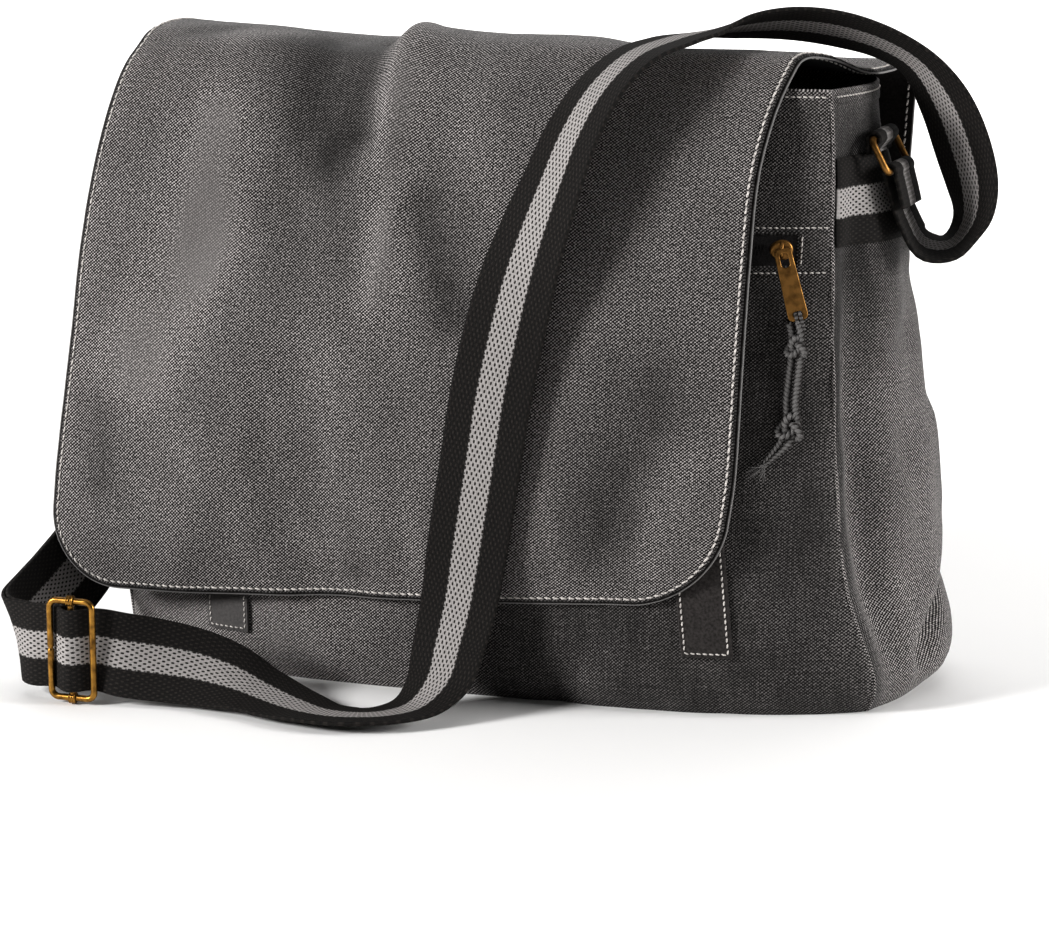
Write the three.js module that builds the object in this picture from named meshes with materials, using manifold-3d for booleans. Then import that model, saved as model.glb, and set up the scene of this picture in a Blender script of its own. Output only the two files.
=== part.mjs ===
// Canvas shoulder bag with a full flap, a striped webbing strap and brass-coloured fittings.
// Millimetres, +Z up. The front faces -Y, and +X is on the right of the front view.
// The origin is the middle of the base, on the surface that the bag stands on.

import * as THREE from 'three';
import { mergeVertices } from 'three/addons/utils/BufferGeometryUtils.js';
import Module from 'manifold-3d';

const wasm = await Module();
wasm.setup();

// Driving dimensions

const CLOTH = 2;                 // thickness of a body panel
const FLAP_CLOTH = 2.4;          // the flap is canvas with a thin backing
const TOUCH = 0.3;               // gap between pieces that lie on each other
const SEAM = 0.4;                // gap between two panels at their seam
const MOUTH_HEIGHT = 291;        // top edge of the body
const BASE_EDGE = { inset: 5, height: 16 };      // how the walls round in to the base
const BELLY_POWER = 4;           // how squarely a panel swells between its seams
const WEBBING = { width: 40, thickness: 2 };
const SIDE_BAND = { bottom: 220, top: 260, gap: 0.5 };      // webbing sewn across each gusset
const ROD = 1.6;                 // radius of the wire in rings and slider
const RING = { length: 44.5, corner: 2 };        // clear length of a strap ring
const SLIDER = { width: 19, height: 44.2, corner: 2 };    // clear opening of the strap slider
const ZIP = { left: -150, right: 147, bottom: 211.4, top: 226.6 };      // window in the front panel
const ZIP_CUT = { front: -120, back: 0 };        // how far the window's cut reaches in y
const ZIP_TAPE = { depth: 0.7, thickness: 1 };
const ZIP_COIL = { height: 5, thickness: 1.4, right: 133 };
const CLOSURE = { width: 23, thickness: 1.6, top: 128 };
const ZIP_SLIDER = { x: 139.5, rise: 0.6, depth: 3.2, half: 5.5, mouth: 4.4, tail: 3.2, crown: 5.6 };
const BAIL = { half: 4, inner: 2.4, leg: 2, width: 2.4, sunk: 0.5 };
const PULL = { width: 9.5, length: 34, thickness: 1.6, corner: 2, rim: 2, window: 9, windowWidth: 5,
  slot: 4.2, slotHeight: 2, tilt: 14 };
const LANYARD = { thickness: 5, lift: 1.4 };     // knotted cord on the zip pull, clear of the panel
const COLLAR = { wall: 1, length: 3.4 };         // ends of the slider's middle bar

// Body sections from the base up. The columns give the x of the four seams, the y of the front
// and back seams, how far the front and back swell between them, how far the right and left
// gussets swell, and how deep they tuck in behind the front seam.
const BODY_SECTIONS = [
  { z: 0, frontLeft: -193, frontRight: 188, backLeft: -194, backRight: 186, frontY: -58, belly: 32,
    backY: 60, backBelly: 3, swell: 14, leftSwell: 3, tuck: 0 },
  { z: 20, frontLeft: -195, frontRight: 187, backLeft: -196, backRight: 190, frontY: -60, belly: 33,
    backY: 62, backBelly: 4, swell: 19, leftSwell: 5, tuck: 6 },
  { z: 60, frontLeft: -196, frontRight: 174, backLeft: -198, backRight: 180, frontY: -62, belly: 32,
    backY: 63, backBelly: 5, swell: 27, leftSwell: 6, tuck: 14 },
  { z: 110, frontLeft: -196, frontRight: 168, backLeft: -198, backRight: 174, frontY: -62, belly: 32,
    backY: 63, backBelly: 6, swell: 30, leftSwell: 8, tuck: 17 },
  { z: 160, frontLeft: -194, frontRight: 165, backLeft: -196, backRight: 168, frontY: -60, belly: 29,
    backY: 62, backBelly: 6, swell: 27, leftSwell: 8, tuck: 16 },
  { z: 220, frontLeft: -188, frontRight: 162, backLeft: -190, backRight: 162, frontY: -54, belly: 22,
    backY: 61, backBelly: 5, swell: 21, leftSwell: 4, tuck: 8 },
  { z: 262, frontLeft: -183, frontRight: 160, backLeft: -186, backRight: 155, frontY: -48, belly: 12,
    backY: 60, backBelly: 4, swell: 12, leftSwell: 1, tuck: 2 },
  { z: MOUTH_HEIGHT, frontLeft: -180, frontRight: 158, backLeft: -183, backRight: 152, frontY: -45,
    belly: 6, backY: 59, backBelly: 3, swell: 12, leftSwell: -3, tuck: 0 },
];

// Heights of the rows in the body panels
const BODY_ROWS = [
  0, 4, 9, 16, 30, 48, 70, 95, 122, 150, 176, 200,
  SIDE_BAND.bottom, 240, SIDE_BAND.top, 276, MOUTH_HEIGHT,
];
const FRONT_STEPS = 16;
const BACK_STEPS = 10;
const GUSSET_STEPS = 9;
const GUSSET_TUCK = { place: 0.12, width: 0.08 };  // where each gusset tucks in, as a share of its depth

// Soft creases of the front panel, as lines in x and z with a depth and a half width
const FRONT_CREASES = [
  { fromX: 120, fromZ: 12, toX: 172, toZ: 40, depth: 4, half: 9 },
  { fromX: 40, fromZ: 6, toX: 60, toZ: 34, depth: 3, half: 10 },
  { fromX: -150, fromZ: 14, toX: -172, toZ: 44, depth: 4, half: 10 },
];

// Creases of both gussets, in the same form with y in place of x
const GUSSET_CREASES = [
  { fromX: 28, fromZ: 74, toX: -18, toZ: 18, depth: 7, half: 7 },
  { fromX: 5, fromZ: 205, toX: -20, toZ: 120, depth: 3, half: 12 },
  { fromX: 30, fromZ: 160, toX: 38, toZ: 90, depth: 3, half: 10 },
];

// Flap ribs from the front hem, over the top, to the seam on the back. Each rib gives the y at its
// middle and at its ends, its height and x at the left and right ends.
const FLAP_RIBS = [
  { y: -101, endY: -93, leftZ: 39, rightZ: 55, left: -223, right: 119 },
  { y: -104.5, endY: -94.5, leftZ: 68, rightZ: 80, left: -222, right: 122 },
  { y: -105, endY: -94, leftZ: 110, rightZ: 116, left: -218, right: 127 },
  { y: -102, endY: -91, leftZ: 165, rightZ: 168, left: -211, right: 129 },
  { y: -93, endY: -83, leftZ: 215, rightZ: 217, left: -207, right: 130 },
  { y: -82, endY: -73, leftZ: 256, rightZ: 254, left: -202, right: 131 },
  { y: -69, endY: -61, leftZ: 287, rightZ: 281, left: -197, right: 135 },
  { y: -57, endY: -50, leftZ: 303, rightZ: 296, left: -193, right: 139 },
  { y: -42, endY: -38, leftZ: 312, rightZ: 306, left: -190, right: 143 },
  { y: -15, endY: -15, leftZ: 315, rightZ: 305, left: -188, right: 152 },
  { y: 12, endY: 12, leftZ: 313, rightZ: 297.5, left: -187, right: 163 },
  { y: 36, endY: 36, leftZ: 309, rightZ: 296.5, left: -187, right: 169 },
  { y: 55, endY: 53, leftZ: 304, rightZ: 298.5, left: -186, right: 173 },
  { y: 68, endY: 64, leftZ: 293, rightZ: 291, left: -185, right: 175 },
  { y: 72.5, endY: 67, leftZ: 274, rightZ: 272, left: -184, right: 174 },
  { y: 74, endY: 67.5, leftZ: 236, rightZ: 236, left: -184, right: 172 },
];
const FLAP_CORNER = { left: 38, right: 42 };     // radius of the two front corners
const FLAP_STEPS = 22;
const FLAP_HEM_ROWS = [0, 1.5, 5, 11, 20, 31];   // rows close to the rounded hem
const FLAP_ROW_PITCH = 16;

// Flap folds, as lines in x and in length along the cloth from the hem. A negative depth stands proud.
const FLAP_FOLDS = [
  { fromX: -88, fromZ: 305, toX: -94, toZ: 190, depth: 8, half: 26 },
  { fromX: -44, fromZ: 280, toX: -58, toZ: 205, depth: -4, half: 20 },
  { fromX: -46, fromZ: 305, toX: 34, toZ: 303, depth: -3, half: 24 },
  { fromX: 0, fromZ: 262, toX: 8, toZ: 215, depth: -2, half: 18 },
  { fromX: -160, fromZ: 120, toX: -120, toZ: 205, depth: 4, half: 22 },
  { fromX: -70, fromZ: 12, toX: -86, toZ: 110, depth: 4, half: 20 },
  { fromX: -150, fromZ: 20, toX: -128, toZ: 66, depth: -3, half: 20 },
  { fromX: 70, fromZ: 18, toX: 82, toZ: 120, depth: 2.5, half: 22 },
  { fromX: -40, fromZ: 345, toX: 80, toZ: 345, depth: 4, half: 26 },
];

// Strap route from the right ring: down to a dip, up in an arch beside and over the bag, down the
// front, along the floor to the slider, and round behind to the left ring. Turn and rise give the
// direction across the webbing, as an angle in plan from +X and an angle above the floor.
const STRAP_ROUTE = [
  { x: 181.5, y: -5, z: 242.4, turn: -90, rise: 0 },
  { x: 186, y: -4, z: 230, turn: -90, rise: -3 },
  { x: 194, y: -1, z: 216.5, turn: -86, rise: -10 },
  { x: 206, y: 4, z: 215.5, turn: -74, rise: -9 },
  { x: 213.5, y: 8, z: 226, turn: -58, rise: -1 },
  { x: 214.5, y: 8, z: 242, turn: -44, rise: 5 },
  { x: 209.5, y: 8, z: 261, turn: -38, rise: 8 },
  { x: 200, y: 8, z: 283, turn: -43, rise: 13 },
  { x: 188, y: 6, z: 300, turn: -54, rise: 14 },
  { x: 173, y: 3, z: 309.5, turn: -61, rise: 20 },
  { x: 153, y: -2, z: 316, turn: -69, rise: 26 },
  { x: 131, y: -8, z: 319, turn: -75, rise: 25 },
  { x: 109, y: -17, z: 318, turn: -76, rise: 17 },
  { x: 94, y: -29, z: 315.5, turn: -67, rise: 4 },
  { x: 82, y: -48, z: 312.5, turn: -50, rise: 0 },
  { x: 69, y: -68, z: 306, turn: -44, rise: -1 },
  { x: 57, y: -81, z: 292, turn: -39, rise: -1 },
  { x: 47, y: -90, z: 272, turn: -33, rise: 1 },
  { x: 40, y: -97.5, z: 250, turn: -28, rise: 1 },
  { x: 32, y: -102, z: 226, turn: -20, rise: -1 },
  { x: 25, y: -105, z: 202, turn: -9, rise: -2 },
  { x: 19, y: -107.5, z: 176, turn: -2, rise: -6 },
  { x: 14, y: -109, z: 151, turn: 0, rise: -9 },
  { x: 9, y: -110, z: 118, turn: 0, rise: -9 },
  { x: 2.5, y: -109, z: 80, turn: 0, rise: -12 },
  { x: -2, y: -109, z: 52, turn: -8, rise: -8 },
  { x: -6, y: -112, z: 32, turn: -16, rise: -8 },
  { x: -8, y: -121, z: 16, turn: -25, rise: -1 },
  { x: -15, y: -132, z: 6, turn: -40, rise: 4 },
  { x: -26, y: -143, z: 3.6, turn: -52, rise: 6 },
  { x: -41, y: -150, z: 3.4, turn: -64, rise: 6 },
  { x: -58, y: -149, z: 3.2, turn: -68, rise: 3 },
  { x: -75, y: -144, z: 4.6, turn: -71, rise: -7 },
  { x: -91, y: -140, z: 8, turn: -72, rise: -18 },
  { x: -106, y: -139, z: 13, turn: -72, rise: -34 },
  { x: -123, y: -141, z: 17.5, turn: -72, rise: -50 },
  { x: -140, y: -147, z: 21.2, turn: -76, rise: -64 },
  { x: -155, y: -154, z: 24.3, turn: -82, rise: -78 },
];
const STRAP_TAIL = [
  { x: 188.3, y: -5, z: 235.4, turn: -90, rise: 0 },
  { x: 186.6, y: -5, z: 242.4, turn: -90, rise: 0 },
];
const SLIDER_PLACE = { x: -179, y: -161, z: 26.8 };
const BEHIND_SLIDER = [
  { x: -203, y: -155.5, z: 26, turn: -60, rise: -84 },
  { x: -214.5, y: -147, z: 26, turn: -20, rise: -75 },
  { x: -219.5, y: -133, z: 28.5, turn: 18, rise: -66 },
  { x: -218.5, y: -115, z: 34, turn: 30, rise: -54 },
  { x: -216, y: -94, z: 42, turn: 32, rise: -46 },
  { x: -214, y: -69, z: 55, turn: 48, rise: -44 },
  { x: -214, y: -42, z: 82, turn: 72, rise: -40 },
  { x: -215, y: -16, z: 122, turn: 87, rise: -27 },
  { x: -214, y: -3, z: 172, turn: 90, rise: -10 },
  { x: -210, y: -5, z: 220, turn: 90, rise: 0 },
  { x: -205.5, y: -5, z: 245, turn: 90, rise: 0 },
];
const STRAP_STEP = 9;
const WEAVE_ROOM = 1.2;           // clearance of the strap from the bars that it weaves round
const SLIDER_STEP = 3;           // closer steps where the strap weaves through its slider
const RING_Y = -5;
const RING_RIGHT = { topX: 173.5, topZ: 267.5, lowX: 181.5, lowZ: 252.4 };
const RING_LEFT = { topX: -190, topZ: 269, lowX: -202, lowZ: 254.6 };
const WRAP = 0.4;                // how far past half a turn the webbing hugs a rod, in radians

// Lanyard route on the zip pull, in x and z. Its y follows the front panel.
const LANYARD_ROUTE = [
  { x: 147.9, z: 187 }, { x: 149.4, z: 181 }, { x: 149.6, z: 172 }, { x: 149, z: 161 },
  { x: 148.4, z: 150 }, { x: 149, z: 141 }, { x: 147, z: 133 }, { x: 142.5, z: 127 }, { x: 138, z: 122 },
];

// Materials, from the colours of the real pieces
const canvas = new THREE.MeshStandardMaterial({ color: 0x4b4848, roughness: 0.95 });
const webbing = new THREE.MeshStandardMaterial({ color: 0x3a3736, roughness: 0.85 });
const felt = new THREE.MeshStandardMaterial({ color: 0x2b2929, roughness: 1 });
const brass = new THREE.MeshStandardMaterial({ color: 0xb07a34, roughness: 0.35, metalness: 1 });
const nylon = new THREE.MeshStandardMaterial({ color: 0x3d3b3b, roughness: 0.7 });
const cordGrey = new THREE.MeshStandardMaterial({ color: 0x56534f, roughness: 0.9 });

const bag = new THREE.Group();

function addPiece(name, geometry, material, parent = bag) {
  const mesh = new THREE.Mesh(geometry, material);
  mesh.name = name;
  parent.add(mesh);
  return mesh;
}

// Curves and meshes

const mix = (a, b, t) => a + (b - a) * t;

// Smooth value of one column at a place along a table, by cubic pieces through its rows.
function columnAt(rows, key, column, place) {
  const last = rows.length - 1;
  let i = 0;
  while (i < last - 1 && place > rows[i + 1][key]) i += 1;
  const slopeAt = (k) => {
    const before = rows[Math.max(k - 1, 0)];
    const after = rows[Math.min(k + 1, last)];
    return (after[column] - before[column]) / (after[key] - before[key]);
  };
  const span = rows[i + 1][key] - rows[i][key];
  const t = THREE.MathUtils.clamp((place - rows[i][key]) / span, 0, 1);
  const square = t * t;
  const cube = square * t;
  return rows[i][column] * (2 * cube - 3 * square + 1)
    + slopeAt(i) * span * (cube - 2 * square + t)
    + rows[i + 1][column] * (3 * square - 2 * cube)
    + slopeAt(i + 1) * span * (cube - square);
}

// Depth of a set of creases at a point, each a soft groove along a line that fades at its ends.
function creaseDepth(creases, x, z) {
  let depth = 0;
  for (const line of creases) {
    const alongX = line.toX - line.fromX;
    const alongZ = line.toZ - line.fromZ;
    const reach = alongX * alongX + alongZ * alongZ;
    const t = THREE.MathUtils.clamp(((x - line.fromX) * alongX + (z - line.fromZ) * alongZ) / reach, 0, 1);
    const away = Math.hypot(x - line.fromX - t * alongX, z - line.fromZ - t * alongZ);
    depth += line.depth * Math.exp(-((away / line.half) ** 2));
  }
  return depth;
}

// Closed body between two grids of points, one for each face of a sheet.
function sheetBody(faceA, faceB) {
  const rows = faceA.length;
  const columns = faceA[0].length;
  const points = [...faceA.flat(), ...faceB.flat()];
  const index = [];
  const at = (side, r, c) => side * rows * columns + r * columns + c;
  const quad = (a, b, c, d) => index.push(a, b, c, a, c, d);
  for (let r = 0; r < rows - 1; r += 1) {
    for (let c = 0; c < columns - 1; c += 1) {
      quad(at(0, r, c), at(0, r, c + 1), at(0, r + 1, c + 1), at(0, r + 1, c));
      quad(at(1, r, c), at(1, r + 1, c), at(1, r + 1, c + 1), at(1, r, c + 1));
    }
    quad(at(0, r, 0), at(0, r + 1, 0), at(1, r + 1, 0), at(1, r, 0));
    quad(at(0, r, columns - 1), at(1, r, columns - 1), at(1, r + 1, columns - 1), at(0, r + 1, columns - 1));
  }
  for (let c = 0; c < columns - 1; c += 1) {
    quad(at(0, 0, c), at(1, 0, c), at(1, 0, c + 1), at(0, 0, c + 1));
    quad(at(0, rows - 1, c), at(0, rows - 1, c + 1), at(1, rows - 1, c + 1), at(1, rows - 1, c));
  }
  const geometry = new THREE.BufferGeometry().setFromPoints(points);
  geometry.setIndex(index);
  return facingOut(geometry);
}

// The same body with its faces pointing out.
function facingOut(geometry) {
  const position = geometry.getAttribute('position');
  const index = geometry.getIndex().array;
  const [a, b, c] = [new THREE.Vector3(), new THREE.Vector3(), new THREE.Vector3()];
  let volume = 0;
  for (let i = 0; i < index.length; i += 3) {
    a.fromBufferAttribute(position, index[i]);
    b.fromBufferAttribute(position, index[i + 1]);
    c.fromBufferAttribute(position, index[i + 2]);
    volume += a.dot(b.cross(c));
  }
  if (volume < 0) index.reverse();
  return geometry;
}

// Body wall

// The body's columns at a height, with the seams drawn in where the walls round to the base.
function bodyAt(z) {
  const section = {};
  for (const column of Object.keys(BODY_SECTIONS[0])) {
    section[column] = columnAt(BODY_SECTIONS, 'z', column, z);
  }
  const low = Math.max(0, 1 - z / BASE_EDGE.height);
  const inset = BASE_EDGE.inset * low * low;
  section.frontLeft += inset;
  section.backLeft += inset;
  section.frontRight -= inset;
  section.backRight -= inset;
  section.frontY += inset;
  section.backY -= inset;
  return section;
}

// Points across the front, from s = -1 at the left seam to s = 1 at the right seam.
function frontPoint(z, s) {
  const section = bodyAt(z);
  const x = mix(section.frontLeft, section.frontRight, (s + 1) / 2);
  const full = 1 - Math.abs(s) ** BELLY_POWER;
  const y = section.frontY - section.belly * full + creaseDepth(FRONT_CREASES, x, z) * full;
  return new THREE.Vector3(x, y, z);
}

function backPoint(z, s) {
  const section = bodyAt(z);
  const x = mix(section.backRight, section.backLeft, (s + 1) / 2);
  const y = section.backY + section.backBelly * (1 - Math.abs(s) ** BELLY_POWER);
  return new THREE.Vector3(x, y, z);
}

// Points across a gusset, from t = 0 at the front seam to t = 1 at the back seam.
function gussetPoint(z, t, side) {
  const section = bodyAt(z);
  const front = side > 0 ? section.frontRight : section.frontLeft;
  const back = side > 0 ? section.backRight : section.backLeft;
  const y = mix(section.frontY, section.backY, t);
  const ends = Math.sin(Math.PI * t);
  const fold = Math.exp(-(((t - GUSSET_TUCK.place) / GUSSET_TUCK.width) ** 2));
  const crease = creaseDepth(GUSSET_CREASES, y, z) * ends;
  const swell = side > 0 ? section.swell : section.leftSwell;
  const out = swell * ends - section.tuck * fold * Math.sqrt(ends) - crease;
  return new THREE.Vector3(mix(front, back, t) + side * out, y, z);
}

const evenSteps = (count) => Array.from({ length: count + 1 }, (_, i) => i / count);
// Steps from -1 to 1 that crowd towards both seams
const seamSteps = (count) => evenSteps(count).map((t) => Math.sin((t - 0.5) * Math.PI));

// One turn of the wall at a height, as four runs of points that share their corner points.
function wallRuns(z) {
  return {
    front: seamSteps(FRONT_STEPS).map((s) => frontPoint(z, s)),
    right: evenSteps(GUSSET_STEPS).map((t) => gussetPoint(z, t, 1)),
    back: seamSteps(BACK_STEPS).map((s) => backPoint(z, s)),
    left: evenSteps(GUSSET_STEPS).map((t) => gussetPoint(z, 1 - t, -1)),
  };
}

// Outer and inner faces of each panel at a height. The inner ring is the outer one moved in by the
// cloth, mitred at each point, so neighbouring panels meet along one line.
function wallRing(z, thickness) {
  const runs = wallRuns(z);
  const ring = Object.values(runs).flatMap((run) => run.slice(0, -1));
  const count = ring.length;
  const normals = ring.map((point, i) => {
    const edge = ring[(i + 1) % count].clone().sub(point);
    return new THREE.Vector3(-edge.y, edge.x, 0).normalize();
  });
  const inner = ring.map((point, i) => {
    const before = normals[(i + count - 1) % count];
    const after = normals[i];
    const mitre = before.clone().add(after).multiplyScalar(thickness / (1 + before.dot(after)));
    return point.clone().add(mitre);
  });
  const panels = {};
  let start = 0;
  for (const [name, run] of Object.entries(runs)) {
    const pick = (points) => run.map((_, i) => points[(start + i) % count].clone());
    panels[name] = { outer: pullEnds(pick(ring)), inner: pullEnds(pick(inner)) };
    start += run.length - 1;
  }
  return panels;
}

// A run of points with both ends drawn back by half the seam gap.
function pullEnds(points) {
  const last = points.length - 1;
  const first = points[1].clone().sub(points[0]).setLength(SEAM / 2);
  const final = points[last - 1].clone().sub(points[last]).setLength(SEAM / 2);
  points[0].add(first);
  points[last].add(final);
  return points;
}

const wallRings = BODY_ROWS.map((z) => wallRing(z, CLOTH));
const panelBody = (name) => sheetBody(
  wallRings.map((ring) => ring[name].outer),
  wallRings.map((ring) => ring[name].inner),
);

// Boolean cut of one closed geometry by another

function toSolid(geometry) {
  const bare = geometry.clone();
  for (const name of Object.keys(bare.attributes)) {
    if (name !== 'position') bare.deleteAttribute(name);
  }
  const merged = mergeVertices(bare);
  return new wasm.Manifold(new wasm.Mesh({
    numProp: 3,
    vertProperties: new Float32Array(merged.getAttribute('position').array),
    triVerts: new Uint32Array(merged.getIndex().array),
  }));
}

function fromSolid(solid) {
  const mesh = solid.getMesh();
  const geometry = new THREE.BufferGeometry();
  geometry.setAttribute('position', new THREE.BufferAttribute(new Float32Array(mesh.vertProperties), 3));
  geometry.setIndex(new THREE.BufferAttribute(new Uint32Array(mesh.triVerts), 1));
  return geometry;
}

const boxBetween = (low, high) => new THREE.BoxGeometry(high.x - low.x, high.y - low.y, high.z - low.z)
  .translate((low.x + high.x) / 2, (low.y + high.y) / 2, (low.z + high.z) / 2);

// Front panel, cut through for the zip
const zipWindow = boxBetween(
  new THREE.Vector3(ZIP.left, ZIP_CUT.front, ZIP.bottom),
  new THREE.Vector3(ZIP.right, ZIP_CUT.back, ZIP.top),
);
addPiece('front_panel', fromSolid(toSolid(panelBody('front')).subtract(toSolid(zipWindow))), canvas);
addPiece('back_panel', panelBody('back'), canvas);
addPiece('gusset_right', panelBody('right'), canvas);
addPiece('gusset_left', panelBody('left'), canvas);

// Base, a flat slab that fills the foot of the walls
const baseRing = Object.values(wallRing(0, CLOTH + SEAM)).flatMap((panel) => panel.inner);
const baseShape = new THREE.Shape(baseRing.map((point) => new THREE.Vector2(point.x, point.y)));
addPiece('base_panel', new THREE.ExtrudeGeometry(baseShape, { depth: CLOTH, bevelEnabled: false }), canvas);

// Pieces laid on the panels

// y of the front panel's face at a place on it
function frontFace(x, z) {
  const section = bodyAt(z);
  const middle = (section.frontLeft + section.frontRight) / 2;
  const half = (section.frontRight - section.frontLeft) / 2;
  return frontPoint(z, THREE.MathUtils.clamp((x - middle) / half, -1, 1)).y;
}

// Sheet on the front panel between two depths in front of its face, over the given x and z rows. It may
// lean to the left going up, by a share of its height.
function frontPatch(xs, zs, near, far, lean = 0) {
  const face = (depth) => zs.map((z) => xs.map((foot) => {
    const x = foot - lean * (z - zs[0]);
    return new THREE.Vector3(x, frontFace(x, z) - depth, z);
  }));
  return sheetBody(face(far), face(near));
}

const spread = (from, to, count) => evenSteps(count).map((t) => mix(from, to, t));

// Zip: a tape sunk in the window and a coil along its middle
const zipMiddle = (ZIP.bottom + ZIP.top) / 2;
const zipRun = spread(ZIP.left + TOUCH, ZIP.right - TOUCH, 24);
const tapeFace = -ZIP_TAPE.depth;
addPiece('zip_tape', frontPatch(
  zipRun,
  [ZIP.bottom + TOUCH, ZIP.top - TOUCH],
  tapeFace - ZIP_TAPE.thickness,
  tapeFace,
), nylon);
addPiece('zip_coil', frontPatch(
  zipRun.filter((x) => x < ZIP_COIL.right),
  spread(zipMiddle - ZIP_COIL.height / 2, zipMiddle + ZIP_COIL.height / 2, 2),
  tapeFace + TOUCH,
  tapeFace + TOUCH + ZIP_COIL.thickness,
), nylon);

// Hook and loop strips that hold the flap shut
const CLOSURE_PLACES = {
  closure_strip_left: { x: -130, bottom: 23, lean: 0 },
  closure_strip_right: { x: 114, bottom: 30, lean: 0.1 },
};
for (const [name, { x, bottom, lean }] of Object.entries(CLOSURE_PLACES)) {
  addPiece(name, frontPatch(
    spread(x - CLOSURE.width / 2, x + CLOSURE.width / 2, 3),
    spread(bottom, CLOSURE.top, 7),
    SEAM,
    SEAM + CLOSURE.thickness,
    lean,
  ), felt);
}

// Flap

// Ribs with their length along the cloth from the hem
let flapLength = 0;
const flapRibs = FLAP_RIBS.map((rib, i) => {
  const before = FLAP_RIBS[Math.max(i - 1, 0)];
  const rise = (rib.leftZ + rib.rightZ - before.leftZ - before.rightZ) / 2;
  flapLength += Math.hypot(rib.y - before.y, rise);
  return { ...rib, along: flapLength };
});

// How far a rounded corner draws the edge in, at a distance from the hem
function cornerInset(radius, fromHem) {
  const short = Math.max(0, radius - fromHem);
  return radius - Math.sqrt(radius * radius - short * short);
}

// Point on the middle of the cloth's outer face before its folds, u from left to right
function flapRest(u, along) {
  const rib = {};
  for (const column of Object.keys(FLAP_RIBS[0])) rib[column] = columnAt(flapRibs, 'along', column, along);
  const left = rib.left + cornerInset(FLAP_CORNER.left, along);
  const right = rib.right - cornerInset(FLAP_CORNER.right, along);
  const x = mix(left, right, u);
  const across = (x - rib.left) / (rib.right - rib.left);
  const toEnd = Math.abs(2 * across - 1) ** 3;
  return new THREE.Vector3(x, mix(rib.y, rib.endY, toEnd), mix(rib.leftZ, rib.rightZ, across));
}

function flapNormal(u, along) {
  const step = 0.5;
  const back = Math.min(along + step, flapLength);
  const fore = Math.max(along - step, 0);
  const acrossStep = flapRest(0.51, along).sub(flapRest(0.49, along));
  const alongStep = flapRest(u, back).sub(flapRest(u, fore));
  return acrossStep.cross(alongStep).normalize();
}

function flapPoint(u, along, depth) {
  const point = flapRest(u, along);
  const fold = creaseDepth(FLAP_FOLDS, point.x, along);
  return point.addScaledVector(flapNormal(u, along), -depth - fold);
}

const flapStart = FLAP_HEM_ROWS.at(-1);
const flapRows = Math.round((flapLength - flapStart) / FLAP_ROW_PITCH);
const flapAlong = [...FLAP_HEM_ROWS, ...spread(flapStart, flapLength, flapRows).slice(1)];
const flapFace = (depth) => flapAlong.map(
  (along) => evenSteps(FLAP_STEPS).map((u) => flapPoint(u, along, depth)),
);
addPiece('flap', sheetBody(flapFace(0), flapFace(FLAP_CLOTH)), canvas);

// Side bands, rings and the tabs that hold them

// Webbing across a gusset, laid on its face and stopping just short of both seams
function sideBand(side) {
  const short = 0.3;
  const levels = BODY_ROWS.filter((z) => z >= SIDE_BAND.bottom && z <= SIDE_BAND.top);
  const face = (depth) => levels.map((z) => {
    const run = evenSteps(GUSSET_STEPS).map((t) => gussetPoint(z, side > 0 ? t : 1 - t, side));
    run[0].lerp(run[1], short);
    run[GUSSET_STEPS].lerp(run[GUSSET_STEPS - 1], short);
    return run.map((point) => point.setX(point.x + side * depth));
  });
  return sheetBody(face(SIDE_BAND.gap), face(SIDE_BAND.gap + WEBBING.thickness));
}

// Points round a rectangle with rounded corners, centred on the origin
function roundedRectangle(width, height, corner, steps) {
  const corners = [[1, -1], [1, 1], [-1, 1], [-1, -1]];
  return corners.flatMap(([sideX, sideY], i) => spread(i - 1, i, steps).map((quarter) => new THREE.Vector2(
    sideX * (width / 2 - corner) + corner * Math.cos((quarter * Math.PI) / 2),
    sideY * (height / 2 - corner) + corner * Math.sin((quarter * Math.PI) / 2),
  )));
}

// Closed wire of a ring or slider, along a rounded rectangle in its own XY plane
function wireLoop(length, height, corner) {
  const path = roundedRectangle(length + 2 * ROD, height + 2 * ROD, corner + ROD, 4);
  const sides = 8;
  const points = [];
  path.forEach((point, i) => {
    const before = path[(i + path.length - 1) % path.length];
    const after = path[(i + 1) % path.length];
    const heading = after.clone().sub(before).normalize();
    for (let k = 0; k < sides; k += 1) {
      const angle = (k / sides) * Math.PI * 2;
      const out = Math.cos(angle) * ROD;
      const lift = Math.sin(angle) * ROD;
      points.push(new THREE.Vector3(point.x + heading.y * out, point.y - heading.x * out, lift));
    }
  });
  const index = [];
  for (let i = 0; i < path.length; i += 1) {
    for (let k = 0; k < sides; k += 1) {
      const next = (i + 1) % path.length;
      const turn = (k + 1) % sides;
      const [a, b] = [i * sides + k, next * sides + k];
      const [c, d] = [next * sides + turn, i * sides + turn];
      index.push(a, b, c, a, c, d);
    }
  }
  const geometry = new THREE.BufferGeometry().setFromPoints(points);
  geometry.setIndex(index);
  return facingOut(geometry);
}

// Webbing along stations, each with a point on its middle and the direction across it
function ribbonBody(stations, width = WEBBING.width, thickness = WEBBING.thickness) {
  const normals = stationNormals(stations);
  const face = (side) => stations.map(({ point, across }, i) => [-1, 1].map(
    (edge) => point.clone()
      .addScaledVector(across, (edge * width) / 2)
      .addScaledVector(normals[i], (side * thickness) / 2),
  ));
  return sheetBody(face(1), face(-1));
}

function stationNormals(stations) {
  const last = stations.length - 1;
  return stations.map(({ across }, i) => {
    const heading = stations[Math.min(i + 1, last)].point.clone().sub(stations[Math.max(i - 1, 0)].point);
    return heading.cross(across).normalize();
  });
}

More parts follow.
